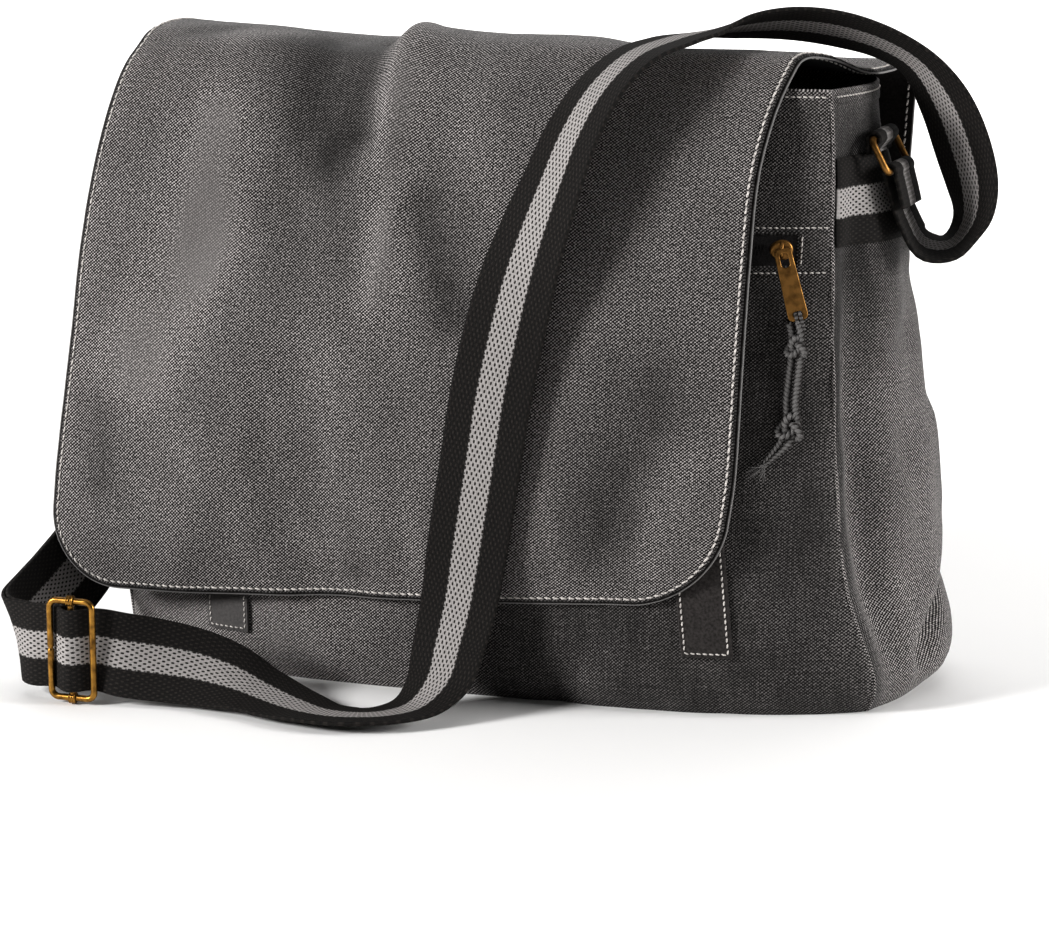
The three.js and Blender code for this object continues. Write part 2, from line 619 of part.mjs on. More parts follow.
// Stations round a rod that runs along Y, between two angles in the XZ plane
function turnOnRod(x, z, from, to, count, across) {
  const radius = ROD + TOUCH + WEBBING.thickness / 2;
  return spread(from, to, count).map((angle) => ({
    point: new THREE.Vector3(x + Math.cos(angle) * radius, RING_Y, z + Math.sin(angle) * radius),
    across: across.clone(),
  }));
}

const ALONG_Y = new THREE.Vector3(0, 1, 0);

// Tab: webbing folded over the ring's upper rod, both ends running down the gusset to the band
function ringTab(ring, side) {
  const lift = TOUCH + WEBBING.thickness / 2;
  const foot = SIDE_BAND.top + TOUCH;
  const sewn = foot + 2;
  const faceX = (z) => {
    const span = bodyAt(z);
    const outs = [-1, -0.5, 0, 0.5, 1].map((edge) => {
      const y = RING_Y + (edge * WEBBING.width) / 2;
      return side * gussetPoint(z, (y - span.frontY) / (span.backY - span.frontY), side).x;
    });
    return side * Math.max(...outs);
  };
  const level = (layer, z) => ({
    point: new THREE.Vector3(faceX(z) + side * (lift + layer * (WEBBING.thickness + TOUCH)), RING_Y, z),
    across: ALONG_Y.clone(),
  });
  const [inner, outer] = side > 0 ? [Math.PI + WRAP, -WRAP] : [-WRAP, Math.PI + WRAP];
  const fold = turnOnRod(ring.topX, ring.topZ, inner, outer, 8, ALONG_Y);
  return ribbonBody([level(0, foot), level(0, sewn), ...fold, level(1, sewn), level(1, foot)]);
}

const RING_SIDES = { right: { ring: RING_RIGHT, side: 1 }, left: { ring: RING_LEFT, side: -1 } };
for (const [name, { ring, side }] of Object.entries(RING_SIDES)) {
  addPiece(`side_band_${name}`, sideBand(side), webbing);
  addPiece(`ring_tab_${name}`, ringTab(ring, side), webbing);
  const drop = Math.hypot(ring.lowX - ring.topX, ring.lowZ - ring.topZ);
  const wire = addPiece(`strap_ring_${name}`, wireLoop(RING.length, drop - 2 * ROD, RING.corner), brass);
  wire.position.set((ring.topX + ring.lowX) / 2, RING_Y, (ring.topZ + ring.lowZ) / 2);
  const down = new THREE.Vector3(ring.lowX - ring.topX, 0, ring.lowZ - ring.topZ).normalize();
  const axes = new THREE.Matrix4().makeBasis(ALONG_Y, down, ALONG_Y.clone().cross(down));
  wire.setRotationFromMatrix(axes);
}

// Shoulder strap

function station({ x, y, z, turn, rise }) {
  const plan = THREE.MathUtils.degToRad(turn);
  const lift = THREE.MathUtils.degToRad(rise);
  return {
    point: new THREE.Vector3(x, y, z),
    across: new THREE.Vector3(
      Math.cos(plan) * Math.cos(lift),
      Math.sin(plan) * Math.cos(lift),
      Math.sin(lift),
    ),
  };
}

// Stations along a smooth curve through the given ones, square to its heading. The next station's own
// step, or the strap's, says how close together they are.
function smoothStations(knots) {
  const centre = new THREE.CatmullRomCurve3(knots.map((knot) => knot.point), false, 'centripetal');
  const across = new THREE.CatmullRomCurve3(knots.map((knot) => knot.across), false, 'catmullrom', 0.5);
  const spans = knots.length - 1;
  const places = [0];
  for (let i = 0; i < spans; i += 1) {
    const step = knots[i + 1].step ?? STRAP_STEP;
    const pieces = Math.ceil(knots[i].point.distanceTo(knots[i + 1].point) / step);
    places.push(...spread(i, i + 1, pieces).slice(1));
  }
  return places.map((place) => {
    const t = place / spans;
    const heading = centre.getTangent(t);
    const wide = across.getPoint(t);
    wide.addScaledVector(heading, -wide.dot(heading)).normalize();
    return { point: centre.getPoint(t), across: wide, place };
  });
}

// The webbing goes behind both side bars of the slider and in front of its middle bar.
const weaveDepth = ROD + WEBBING.thickness / 2 + WEAVE_ROOM;
const sideBar = SLIDER.width / 2 + ROD;
const throughSlider = [1, 0, -1].map((bar) => ({
  ...station({
    x: SLIDER_PLACE.x + bar * sideBar,
    y: SLIDER_PLACE.y + (bar === 0 ? -weaveDepth : weaveDepth),
    z: SLIDER_PLACE.z,
    turn: -88,
    rise: -88,
  }),
  step: SLIDER_STEP,
}));

// The strap starts with a short end at the right ring, and comes back from the left ring in a second
// layer that is sewn behind the slider's middle bar.
const tailEnd = STRAP_TAIL.map(station);
const rightTurn = turnOnRod(RING_RIGHT.lowX, RING_RIGHT.lowZ, -WRAP, Math.PI + WRAP, 8, tailEnd[0].across);
const outward = smoothStations([
  ...STRAP_ROUTE.map(station), ...throughSlider, ...BEHIND_SLIDER.map(station),
]);
const leftTurn = turnOnRod(RING_LEFT.lowX, RING_LEFT.lowZ, Math.PI + WRAP, -WRAP, 8, ALONG_Y);
const doubledFrom = STRAP_ROUTE.length + throughSlider.length - 1;
const layerPitch = WEBBING.thickness + SEAM;
const outwardNormals = stationNormals(outward);
const returning = outward.map(({ point, across, place }, i) => ({
  point: point.clone().addScaledVector(outwardNormals[i], -layerPitch),
  across,
  place,
})).filter(({ place }) => place >= doubledFrom).reverse();
const sewnEnd = {
  point: new THREE.Vector3(SLIDER_PLACE.x, SLIDER_PLACE.y + weaveDepth, SLIDER_PLACE.z),
  across: throughSlider[1].across,
};
addPiece('shoulder_strap', ribbonBody([
  ...tailEnd, ...rightTurn, ...outward, ...leftTurn, ...returning, sewnEnd,
]), webbing);

// Strap slider: a wire frame and a loose middle bar with a collar round each short side
const slider = new THREE.Group();
slider.position.set(SLIDER_PLACE.x, SLIDER_PLACE.y, SLIDER_PLACE.z);
slider.rotation.x = Math.PI / 2;
bag.add(slider);
addPiece('slider_frame', wireLoop(SLIDER.width, SLIDER.height, SLIDER.corner), brass, slider);

const collarBore = ROD + TOUCH;
const collarOuter = collarBore + COLLAR.wall;
const collarProfile = [
  new THREE.Vector2(collarBore, -COLLAR.length / 2),
  new THREE.Vector2(collarOuter, -COLLAR.length / 2),
  new THREE.Vector2(collarOuter, COLLAR.length / 2),
  new THREE.Vector2(collarBore, COLLAR.length / 2),
  new THREE.Vector2(collarBore, -COLLAR.length / 2),
];
const frameMiddle = SLIDER.height / 2 + ROD;
const barEnd = frameMiddle - collarBore - COLLAR.wall / 2;
let barSolid = toSolid(new THREE.CylinderGeometry(ROD, ROD, 2 * barEnd, 8));
for (const end of [-1, 1]) {
  const collar = new THREE.LatheGeometry(collarProfile, 12)
    .rotateZ(Math.PI / 2)
    .translate(0, end * frameMiddle, 0);
  barSolid = barSolid.add(toSolid(collar));
}
addPiece('slider_bar', fromSolid(barSolid), brass, slider);

// Zip slider, its pull and the knotted lanyard

// Slider body: a rounded shield with a bail over it
const shield = new THREE.Shape();
shield.moveTo(-ZIP_SLIDER.half, -ZIP_SLIDER.tail);
shield.quadraticCurveTo(0, -ZIP_SLIDER.crown, ZIP_SLIDER.half, -ZIP_SLIDER.mouth);
shield.lineTo(ZIP_SLIDER.half, ZIP_SLIDER.mouth);
shield.quadraticCurveTo(0, ZIP_SLIDER.crown, -ZIP_SLIDER.half, ZIP_SLIDER.tail);
const shieldBody = new THREE.ExtrudeGeometry(shield, {
  depth: ZIP_SLIDER.depth,
  bevelEnabled: false,
  curveSegments: 5,
});
const arch = new THREE.Shape();
arch.moveTo(-BAIL.half, 0);
arch.lineTo(-BAIL.half, BAIL.leg);
arch.absarc(0, BAIL.leg, BAIL.half, Math.PI, 0, true);
arch.lineTo(BAIL.half, 0);
arch.lineTo(BAIL.inner, 0);
arch.lineTo(BAIL.inner, BAIL.leg);
arch.absarc(0, BAIL.leg, BAIL.inner, 0, Math.PI, false);
arch.lineTo(-BAIL.inner, 0);
const bail = new THREE.ExtrudeGeometry(arch, { depth: BAIL.width, bevelEnabled: false, curveSegments: 8 })
  .translate(0, 0, -BAIL.width / 2)
  .rotateX(Math.PI / 2)
  .rotateZ(Math.PI / 2)
  .translate(0, 0, ZIP_SLIDER.depth - BAIL.sunk);

// The fittings stand square to the panel at the slider, just in front of the tape.
const sliderHeight = zipMiddle + ZIP_SLIDER.rise;
const zipFace = frontFace(ZIP_SLIDER.x, sliderHeight);
const zipSlope = (frontFace(ZIP_SLIDER.x + ZIP_SLIDER.half, sliderHeight)
  - frontFace(ZIP_SLIDER.x - ZIP_SLIDER.half, sliderHeight)) / (2 * ZIP_SLIDER.half);
const zipFittings = new THREE.Group();
zipFittings.position.set(ZIP_SLIDER.x, zipFace - tapeFace, sliderHeight);
zipFittings.rotation.set(Math.PI / 2, Math.atan(zipSlope), 0);
bag.add(zipFittings);
const shieldLift = 1;
const sliderSolid = toSolid(shieldBody).add(toSolid(bail));
const zipSlider = addPiece('zip_slider', fromSolid(sliderSolid), brass, zipFittings);
zipSlider.position.z = shieldLift;

// Pull: a flat bar with a window at its top, hung on the bail, and a slot for the cord
const pullOutline = roundedRectangle(PULL.width, PULL.length, PULL.corner, 3);
const pullShape = new THREE.Shape(pullOutline.map((point) => point.setY(point.y - PULL.length / 2)));
const cutThrough = (width, top, height) => toSolid(boxBetween(
  new THREE.Vector3(-width / 2, -top - height, -PULL.thickness),
  new THREE.Vector3(width / 2, -top, 2 * PULL.thickness),
));
const pullPlate = toSolid(new THREE.ExtrudeGeometry(pullShape, {
  depth: PULL.thickness,
  bevelEnabled: false,
}));
const slotTop = PULL.length - PULL.rim - PULL.slotHeight;
const pull = addPiece('zip_pull', fromSolid(
  pullPlate
    .subtract(cutThrough(PULL.windowWidth, PULL.rim, PULL.window))
    .subtract(cutThrough(PULL.slot, slotTop, PULL.slotHeight)),
), brass, zipFittings);
const pullLift = 1.2;
const pullTilt = THREE.MathUtils.degToRad(PULL.tilt);
const footFace = frontFace(ZIP_SLIDER.x + PULL.length * Math.sin(pullTilt), sliderHeight - PULL.length);
pull.position.set(0, PULL.rim / 2, shieldLift + ZIP_SLIDER.depth + pullLift);
pull.rotation.set(-Math.atan2(zipFace - footFace, PULL.length), 0, pullTilt);

// Lanyard: cord of eight sides that hangs close to the front panel
const lanyardPoints = LANYARD_ROUTE.map(({ x, z }) => new THREE.Vector3(
  x,
  frontFace(x, z) - LANYARD.thickness / 2 - LANYARD.lift,
  z,
));
const lanyardSection = new THREE.Shape().absarc(0, 0, LANYARD.thickness / 2, 0, Math.PI * 2);
addPiece('pull_lanyard', new THREE.ExtrudeGeometry(lanyardSection, {
  steps: 22,
  curveSegments: 4,
  extrudePath: new THREE.CatmullRomCurve3(lanyardPoints),
}), cordGrey);

export default bag;
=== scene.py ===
"""Canvas shoulder bag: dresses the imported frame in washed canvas, striped webbing and aged brass."""

import math
from collections import namedtuple

import bmesh
import bpy
import numpy as np
from bpy.props import FloatProperty, FloatVectorProperty, PointerProperty
from mathutils import Matrix, Vector, noise


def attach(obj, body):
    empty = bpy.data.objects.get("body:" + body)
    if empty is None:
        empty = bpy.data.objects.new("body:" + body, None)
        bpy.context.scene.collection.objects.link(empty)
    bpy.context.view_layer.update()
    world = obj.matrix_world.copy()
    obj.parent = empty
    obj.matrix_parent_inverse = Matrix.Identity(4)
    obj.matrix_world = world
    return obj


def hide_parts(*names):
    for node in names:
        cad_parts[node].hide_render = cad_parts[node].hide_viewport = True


bl_info = {
    "name": "Canvas shoulder bag",
    "version": (1, 0, 0),
    "blender": (4, 5, 0),
    "location": "View3D > Sidebar > Bag",
    "description": "Builds a washed canvas shoulder bag around its packed frame",
    "category": "Add Mesh",
}

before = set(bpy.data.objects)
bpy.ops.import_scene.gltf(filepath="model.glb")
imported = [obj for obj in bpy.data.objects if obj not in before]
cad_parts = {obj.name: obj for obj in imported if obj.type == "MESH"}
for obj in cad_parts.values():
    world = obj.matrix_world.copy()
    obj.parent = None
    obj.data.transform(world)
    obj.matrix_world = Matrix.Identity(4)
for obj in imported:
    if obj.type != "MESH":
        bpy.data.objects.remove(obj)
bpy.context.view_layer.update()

MM = 0.001
TO_RIGHT = np.array((1.0, 0.0, 0.0))
TO_FRONT = np.array((0.0, -1.0, 0.0))
TO_BACK = np.array((0.0, 1.0, 0.0))
UP = np.array((0.0, 0.0, 1.0))

# Body shape, in millimetres
MOUTH_HEIGHT = 291
BASE_INSET = 5
BASE_ROUND = 16
BELLY_POWER = 4
TOUCH = 0.3
SEAM = 0.4
BODY_COLUMNS = (
    "z front_left front_right back_left back_right front_y belly back_y back_belly swell left_swell tuck"
)
BODY_SECTIONS = (
    (0, -193, 188, -194, 186, -58, 32, 60, 3, 14, 3, 0),
    (20, -195, 187, -196, 190, -60, 33, 62, 4, 19, 5, 6),
    (60, -196, 174, -198, 180, -62, 32, 63, 5, 27, 6, 14),
    (110, -196, 168, -198, 174, -62, 32, 63, 6, 30, 8, 17),
    (160, -194, 165, -196, 168, -60, 29, 62, 6, 27, 8, 16),
    (220, -188, 162, -190, 162, -54, 22, 61, 5, 21, 4, 8),
    (262, -183, 160, -186, 155, -48, 12, 60, 4, 12, 1, 2),
    (MOUTH_HEIGHT, -180, 158, -183, 152, -45, 6, 59, 3, 12, -3, 0),
)
TUCK_PLACE = 0.12
TUCK_WIDTH = 0.08

# Relief of the cloth: seams and hems, and how far their stitches lie from the edge
HEM_STITCH = 2.8
HEM_WIDTH = 8.2
HEM_RISE = 0.4
FLAP_STITCH = 1.6
BACK_STITCH = 4
ZIP_STITCH = 2.6
CLOSURE_STITCH = 1.5
WELT_RISE = 0.7
STITCH_DIP = 0.45
STITCH_SLANT = 0.16
RIDGE_RADIUS = 0.8

# Ripples: length of a bump across the cloth, that length as a share of the one along it, height and seed
FRONT_RIPPLES = ((30, 1, 0.7, 2.2), (12, 0.5, 0.25, 6.5))
GUSSET_RIPPLES = ((26, 1, 0.9, 3.7), (11, 1, 0.3, 8.8))
BACK_RIPPLES = ((40, 1, 0.8, 5.9),)
FLAP_RIPPLES = ((46, 0.6, 0.9, 1.3), (15, 1, 0.3, 4.1))

# Wear of the canvas, and painted light and shade: paler above zero, darker below it
HEM_WEAR = 0.25
SEAM_WEAR = 0.3
# Seam ridges: paler from wear, and a painted highlight along them
RIDGE_WEAR_AND_HIGHLIGHT = 0.15
# Painted light on the front panel's left and above the zip, painted shade on its right
FRONT_LEFT_PAINTED_LIGHT = 0.25
FRONT_RIGHT_PAINTED_SHADE = -0.38
POCKET_TOP_PAINTED_LIGHT = 0.15
# Painted shade on the gussets to the rear, in the hollow, under the band and at the top, painted light at
# the foot
GUSSET_REAR_PAINTED_SHADE = -0.3
GUSSET_HOLLOW_PAINTED_SHADE = -0.5
GUSSET_UNDER_BAND_PAINTED_SHADE = -0.5
GUSSET_TOP_PAINTED_SHADE = -0.3
GUSSET_FOOT_PAINTED_LIGHT = 0.12
FLAP_RIM_WEAR = -0.5
FLAP_STITCH_WEAR = 0.1
# Backing's edge: paler from wear of its threads, and a painted highlight
LINING_EDGE_WEAR_AND_HIGHLIGHT = 0.8
# Painted light on the left closure strip
LEFT_CLOSURE_PAINTED_LIGHT = 0.22

# Creases: start and end of a line on the cloth, then depth and half width. Below zero stands proud.
FRONT_CREASES = (
    (120, 12, 172, 40, 4, 9),
    (40, 6, 60, 34, 3, 10),
    (-150, 14, -172, 44, 4, 10),
)
GUSSET_CREASES = (
    (28, 74, -18, 18, 7, 7),
    (5, 205, -20, 120, 3, 12),
    (30, 160, 38, 90, 3, 10),
)
FLAP_FOLDS = (
    (-88, 305, -94, 190, 8, 26),
    (-44, 280, -58, 205, -4, 20),
    (-46, 305, 34, 303, -3, 24),
    (0, 262, 8, 215, -2, 18),
    (-160, 120, -120, 205, 4, 22),
    (-70, 12, -86, 110, 4, 20),
    (-150, 20, -128, 66, -3, 20),
    (70, 18, 82, 120, 2.5, 22),
    (-40, 345, 80, 345, 4, 26),
)
# Smaller folds that only the cloth's surface shows
GUSSET_WRINKLES = (
    (52, 80, -22, 24, 3.5, 6),
    (56, 100, -8, 54, -2.0, 10),
    (48, 50, 4, 12, -2.5, 9),
    (40, 166, 2, 136, 1.1, 9),
    (22, 196, -30, 160, 1.8, 8),
    (-28, 150, -16, 84, 1.8, 8),
    (14, 130, 20, 92, -1.5, 9),
    (-38, 118, -36, 56, -1.6, 5),
)
FLAP_WRINKLES = (
    (-66, 304, -62, 222, 5.0, 12),
    (-104, 300, -106, 215, -2.5, 15),
    (-49, 306, -48, 216, -3.0, 7),
    (-43, 186, -48, 144, -1.6, 6),
    (-24, 188, -8, 138, 1.8, 9),
    (-190, 268, -150, 284, 1.2, 8),
    (-120, 150, -60, 168, 0.9, 10),
    (-96, 30, -104, 92, 1.2, 8),
    (-60, 20, -66, 78, -1.0, 8),
    (-30, 14, -32, 60, 0.9, 7),
    (-205, 70, -198, 130, 1.4, 9),
    (60, 20, 78, 64, 1.2, 8),
    (88, 30, 100, 82, -0.9, 8),
)

# Painted light and shade on the flap, mostly along its folds, along its top and beside the strap, with
# washed streaks near the hem: lines with a strength and a half width. Below zero is darker.
WASH_AND_SHADE_MARKS = (
    (-136, 228, -138, 165, 0.27, 15),
    (-142, 175, -174, 105, 0.27, 24),
    (-140, 278, -112, 292, 0.28, 9),
    (-164, 284, -146, 296, -0.2, 8),
    (-98, 284, -80, 218, -0.36, 22),
    (-68, 304, -62, 226, -0.28, 9),
    (-74, 212, -68, 170, -0.16, 15),
    (-46, 306, -44, 205, 0.24, 11),
    (-44, 184, -48, 146, 0.26, 11),
    (-24, 190, -6, 140, -0.32, 12),
    (-100, 190, -92, 150, -0.12, 16),
    (-194, 90, -194, 52, -0.2, 10),
    (-90, 44, -78, 22, 0.15, 4),
    (-122, 42, -112, 14, 0.14, 4),
    (-62, 38, -56, 12, -0.14, 5),
    (-32, 42, -24, 14, 0.12, 5),
    (40, 42, 46, 14, 0.12, 5),
    (-30, 240, 0, 215, 0.1, 20),
    (66, 36, 82, 104, -0.28, 24),
    (104, 75, 88, 22, 0.25, 11),
    (-180, 322, 100, 328, -0.24, 16),
)

# Flap ribs from the hem to the back seam: y at the middle and ends, then heights and x of the two ends
FLAP_COLUMNS = "y end_y left_z right_z left right"
FLAP_RIBS = (
    (-101, -93, 39, 55, -223, 119),
    (-104.5, -94.5, 68, 80, -222, 122),
    (-105, -94, 110, 116, -218, 127),
    (-102, -91, 165, 168, -211, 129),
    (-93, -83, 215, 217, -207, 130),
    (-82, -73, 256, 254, -202, 131),
    (-69, -61, 287, 281, -197, 135),
    (-57, -50, 303, 296, -193, 139),
    (-42, -38, 312, 306, -190, 143),
    (-15, -15, 315, 305, -188, 152),
    (12, 12, 313, 297.5, -187, 163),
    (36, 36, 309, 296.5, -187, 169),
    (55, 53, 304, 298.5, -186, 173),
    (68, 64, 293, 291, -185, 175),
    (72.5, 67, 274, 272, -184, 174),
    (74, 67.5, 236, 236, -184, 172),
)
CORNER_LEFT = 38
CORNER_RIGHT = 42
LINING_GAP = 0.2

# Strap route: x, y, z of the middle, then the direction across it as a plan angle and a rise
STRAP_TAIL = (
    (188.3, -5, 235.4, -90, 0),
    (186.6, -5, 242.4, -90, 0),
)
STRAP_ROUTE = (
    (181.5, -5, 242.4, -90, 0),
    (186, -4, 230, -90, -3),
    (194, -1, 216.5, -86, -10),
    (206, 4, 215.5, -74, -9),
    (213.5, 8, 226, -58, -1),
    (214.5, 8, 242, -44, 5),
    (209.5, 8, 261, -38, 8),
    (200, 8, 283, -43, 13),
    (188, 6, 300, -54, 14),
    (173, 3, 309.5, -61, 20),
    (153, -2, 316, -69, 26),
    (131, -8, 319, -75, 25),
    (109, -17, 318, -76, 17),
    (94, -29, 315.5, -67, 4),
    (82, -48, 312.5, -50, 0),
    (69, -68, 306, -44, -1),
    (57, -81, 292, -39, -1),
    (47, -90, 272, -33, 1),
    (40, -97.5, 250, -28, 1),
    (32, -102, 226, -20, -1),
    (25, -105, 202, -9, -2),
    (19, -107.5, 176, -2, -6),
    (14, -109, 151, 0, -9),
    (9, -110, 118, 0, -9),
    (2.5, -109, 80, 0, -12),
    (-2, -109, 52, -8, -8),
    (-6, -112, 32, -16, -8),
    (-8, -121, 16, -25, -1),
    (-15, -132, 6, -40, 4),
    (-26, -143, 3.6, -52, 6),
    (-41, -150, 3.4, -64, 6),
    (-58, -149, 3.2, -68, 3),
    (-75, -144, 4.6, -71, -7),
    (-91, -140, 8, -72, -18),
    (-106, -139, 13, -72, -34),
    (-123, -141, 17.5, -72, -50),
    (-140, -147, 21.2, -76, -64),
    (-155, -154, 24.3, -82, -78),
)
BEHIND_SLIDER = (
    (-203, -155.5, 26, -60, -84),
    (-214.5, -147, 26, -20, -75),
    (-219.5, -133, 28.5, 18, -66),
    (-218.5, -115, 34, 30, -54),
    (-216, -94, 42, 32, -46),
    (-214, -69, 55, 48, -44),
    (-214, -42, 82, 72, -40),
    (-215, -16, 122, 87, -27),
    (-214, -3, 172, 90, -10),
    (-210, -5, 220, 90, 0),
    (-205.5, -5, 245, 90, 0),
)

# Steps along the strap, then its rings, its slider and the side bands
STRAP_STEP = 3.0
SLIDER_STEP = 1.2
WEAVE_ROOM = 1.2
WRAP = 0.4
RING_Y = -5
RING_LENGTH = 44.5
RING_CORNER = 2
RINGS = {
    "right": {"side": 1, "top": (173.5, 267.5), "low": (181.5, 252.4)},
    "left": {"side": -1, "top": (-190, 269), "low": (-202, 254.6)},
}
SLIDER_PLACE = np.array((-179, -161, 26.8))
SLIDER_WIDTH = 19
SLIDER_HEIGHT = 44.2
SLIDER_CORNER = 2
COLLAR_WIDTH = 3.8
BAND_BOTTOM = 220
BAND_TOP = 260
BAND_GAP = 0.5

# Zip with its slider and pull
ZIP_LEFT = -150
ZIP_RIGHT = 147
ZIP_BOTTOM = 211.4
ZIP_TOP = 226.6
ZIP_MIDDLE = (ZIP_BOTTOM + ZIP_TOP) / 2
ZIP_HALF = (ZIP_TOP - ZIP_BOTTOM) / 2
WINDOW_COLUMNS = 120
TAPE_DEPTH = 0.7
COIL_RIGHT = 133
COIL_OFFSET = 0.85
COIL_HALF = 1.6
COIL_RISE = 0.65
FITTINGS_X = 139.5
FITTINGS_Z = ZIP_MIDDLE + 0.6
SHIELD_LENGTH = 11
SHIELD_WIDTH = 9.4
SHIELD_TAPER = 0.4
SHIELD_THICKNESS = 3.2
SHIELD_BEVEL = 1.2
SHIELD_RISE = 2.6
BAIL_HALF = 3.2
BAIL_FOOT = 3.9
BAIL_RISE = 2.4
BAIL_LEG = 1.4
BAIL_WIRE = 0.85
PULL_LENGTH = 34
PULL_WIDTH = 9.5
PULL_THICKNESS = 1.7
PULL_CORNER = 2.4
PULL_BEVEL = 0.45
PULL_TILT = 14
PULL_RISE = 0.8
PULL_HANG = (0, 1, 5.4)
PULL_HEAD = 9
PULL_NARROWING = 0.22
# Window and cord slot of the pull: width, height, corner radius and place from its upper or lower end
PULL_WINDOW = (3.9, 6.6, 1.4, 5.6)
PULL_SLOT = (4.2, 2.2, 1.0, 3.1)

# Closure strips: middle at the foot, height of the foot and lean to the left
CLOSURES = {
    "closure_strip_left": (-130, 23, 0.0),
    "closure_strip_right": (114, 30, 0.1),
}
CLOSURE_WIDTH = 23
CLOSURE_TOP = 128
CLOSURE_THICKNESS = 2.0

# Lanyard: x and z of its middle on the front panel
LANYARD_ROUTE = (
    (147.9, 187),
    (149.4, 181),
    (149.6, 172),
    (149, 161),
    (148.4, 150),
    (149, 141),
    (147, 133),
    (142.5, 127),
    (138, 122),
)
LANYARD_THICKNESS = 5
LANYARD_LIFT = 1.4
STRAND_SPREAD = 2.2
STRAND_TWIST = 6
PLY_RADIUS = 0.95
LOOP_RADIUS = 0.82
LOOP_TWIST = 1.8
# Loop of the cord through the pull, from the pull's lower end: across it, up it and out from its middle
LANYARD_LOOP = (
    (0, -4.5, 1.9),
    (0, -0.5, 2.1),
    (0, 2.7, 1.9),
    (0, 3.3, 0),
    (0, 2.7, -1.9),
    (0, -0.5, -2.1),
    (0, -4.5, -1.9),
)
# Knots: place as a share of the cord's length, and size
LANYARD_KNOTS = ((0.17, 1.55), (0.7, 2.0))
KNOT_TWISTS = 9
KNOT_LIFT = 0.8
FRAY_FIBRES = 34

# Camera, from the photo
CAMERA_PLACE = (0.4831, -1.4607, 0.4172)
CAMERA_AIM = (-0.3107, 0.9281, -0.2052)
CAMERA_LENS = 107.7

# Lights: place, aim, side of the square in metres and power in watts
LIGHTS = {
    "key": ((-1.95, -1.85, 1.15), (0.0, -0.05, 0.14), 0.7, 93.0),
    "fill": ((2.3, 0.25, 0.8), (0.1, 0.0, 0.15), 0.8, 50.0),
    "top": ((0.0, 0.9, 3.4), (0.0, 0.9, 0.0), 3.2, 25.0),
    "far": ((-1.2, 4.4, 3.2), (-1.4, 5.6, 0.0), 6.0, 360.0),
}
FLOOR_HALF = 12.0
SKY_STRENGTH = 0.06
EXPOSURE = 0.35
GAMMA = 0.86

# Patterns in the materials: lengths in millimetres, and half waves across and along the webbing
THREAD_DRIFT = 8.33
THREAD_GRAIN = 1.18
STREAK_LENGTH = 25
STREAK_WIDTH = 0.91
PATCH_WIDTH = 33.3
WEBBING_GRAIN = 0.77
RAGGED_EDGE = (1.4, 1.1)
STRIPE_GAPS = (1.2, 2.2)
TWILL = (0.9, 0.7)
TARNISH_SPOT = 3.85


def linear(code):
    """Linear colour of an sRGB hex value."""
    parts = [int(code[i:i + 2], 16) / 255 for i in (1, 3, 5)]
    return tuple(c / 12.92 if c <= 0.04045 else ((c + 0.055) / 1.055) ** 2.4 for c in parts) + (1.0,)


def size(name, description, millimetres):
    """A length property, with its default in millimetres."""
    return FloatProperty(
        name=name,
        description=description,
        default=millimetres * MM,
        min=0.0001,
        precision=4,
        unit="LENGTH",
        subtype="DISTANCE",
    )


def colour(name, description, code):
    """A colour property, with its default as an sRGB hex value."""
    return FloatVectorProperty(
        name=name,
        description=description,
        default=linear(code),
        size=4,
        min=0.0,
        max=1.0,
        subtype="COLOR",
    )


class BagSizes(bpy.types.PropertyGroup):
    """Sizes of the cloth, webbing, thread and wire."""

    cloth: size("Cloth", "Thickness of a body panel", 2.0)
    flap_canvas: size("Flap canvas", "Thickness of the flap's outer cloth", 1.3)
    flap_lining: size("Flap lining", "Thickness of the flap's backing", 0.9)
    lining_lip: size("Lining lip", "How far the backing shows past the flap's canvas", 1.9)
    warp: size("Warp", "Pitch of the canvas threads across the cloth, drawn a little coarse", 0.92)
    weft: size("Weft", "Pitch of the canvas threads along the cloth, drawn a little coarse", 0.77)
    webbing_width: size("Webbing width", "Width of the strap", 40.0)
    webbing: size("Webbing", "Thickness of the strap", 2.0)
    stripe: size("Stripe", "Width of the pale stripe in the strap", 13.4)
    wire: size("Wire", "Radius of the wire in the rings and the slider", 1.6)
    stitch_pitch: size("Stitch pitch", "Distance from one heavy stitch to the next", 3.8)
    stitch: size("Stitch", "Length of a heavy stitch", 3.3)
    thread: size("Thread", "Width of the heavy thread", 1.0)
    fine_pitch: size("Fine stitch pitch", "Distance from one fine stitch to the next", 2.9)
    fine_stitch: size("Fine stitch", "Length of a fine stitch", 2.2)
    fine_thread: size("Fine thread", "Width of the fine thread", 0.85)
    tooth: size("Zip tooth", "Pitch of the zip's coil", 1.5)


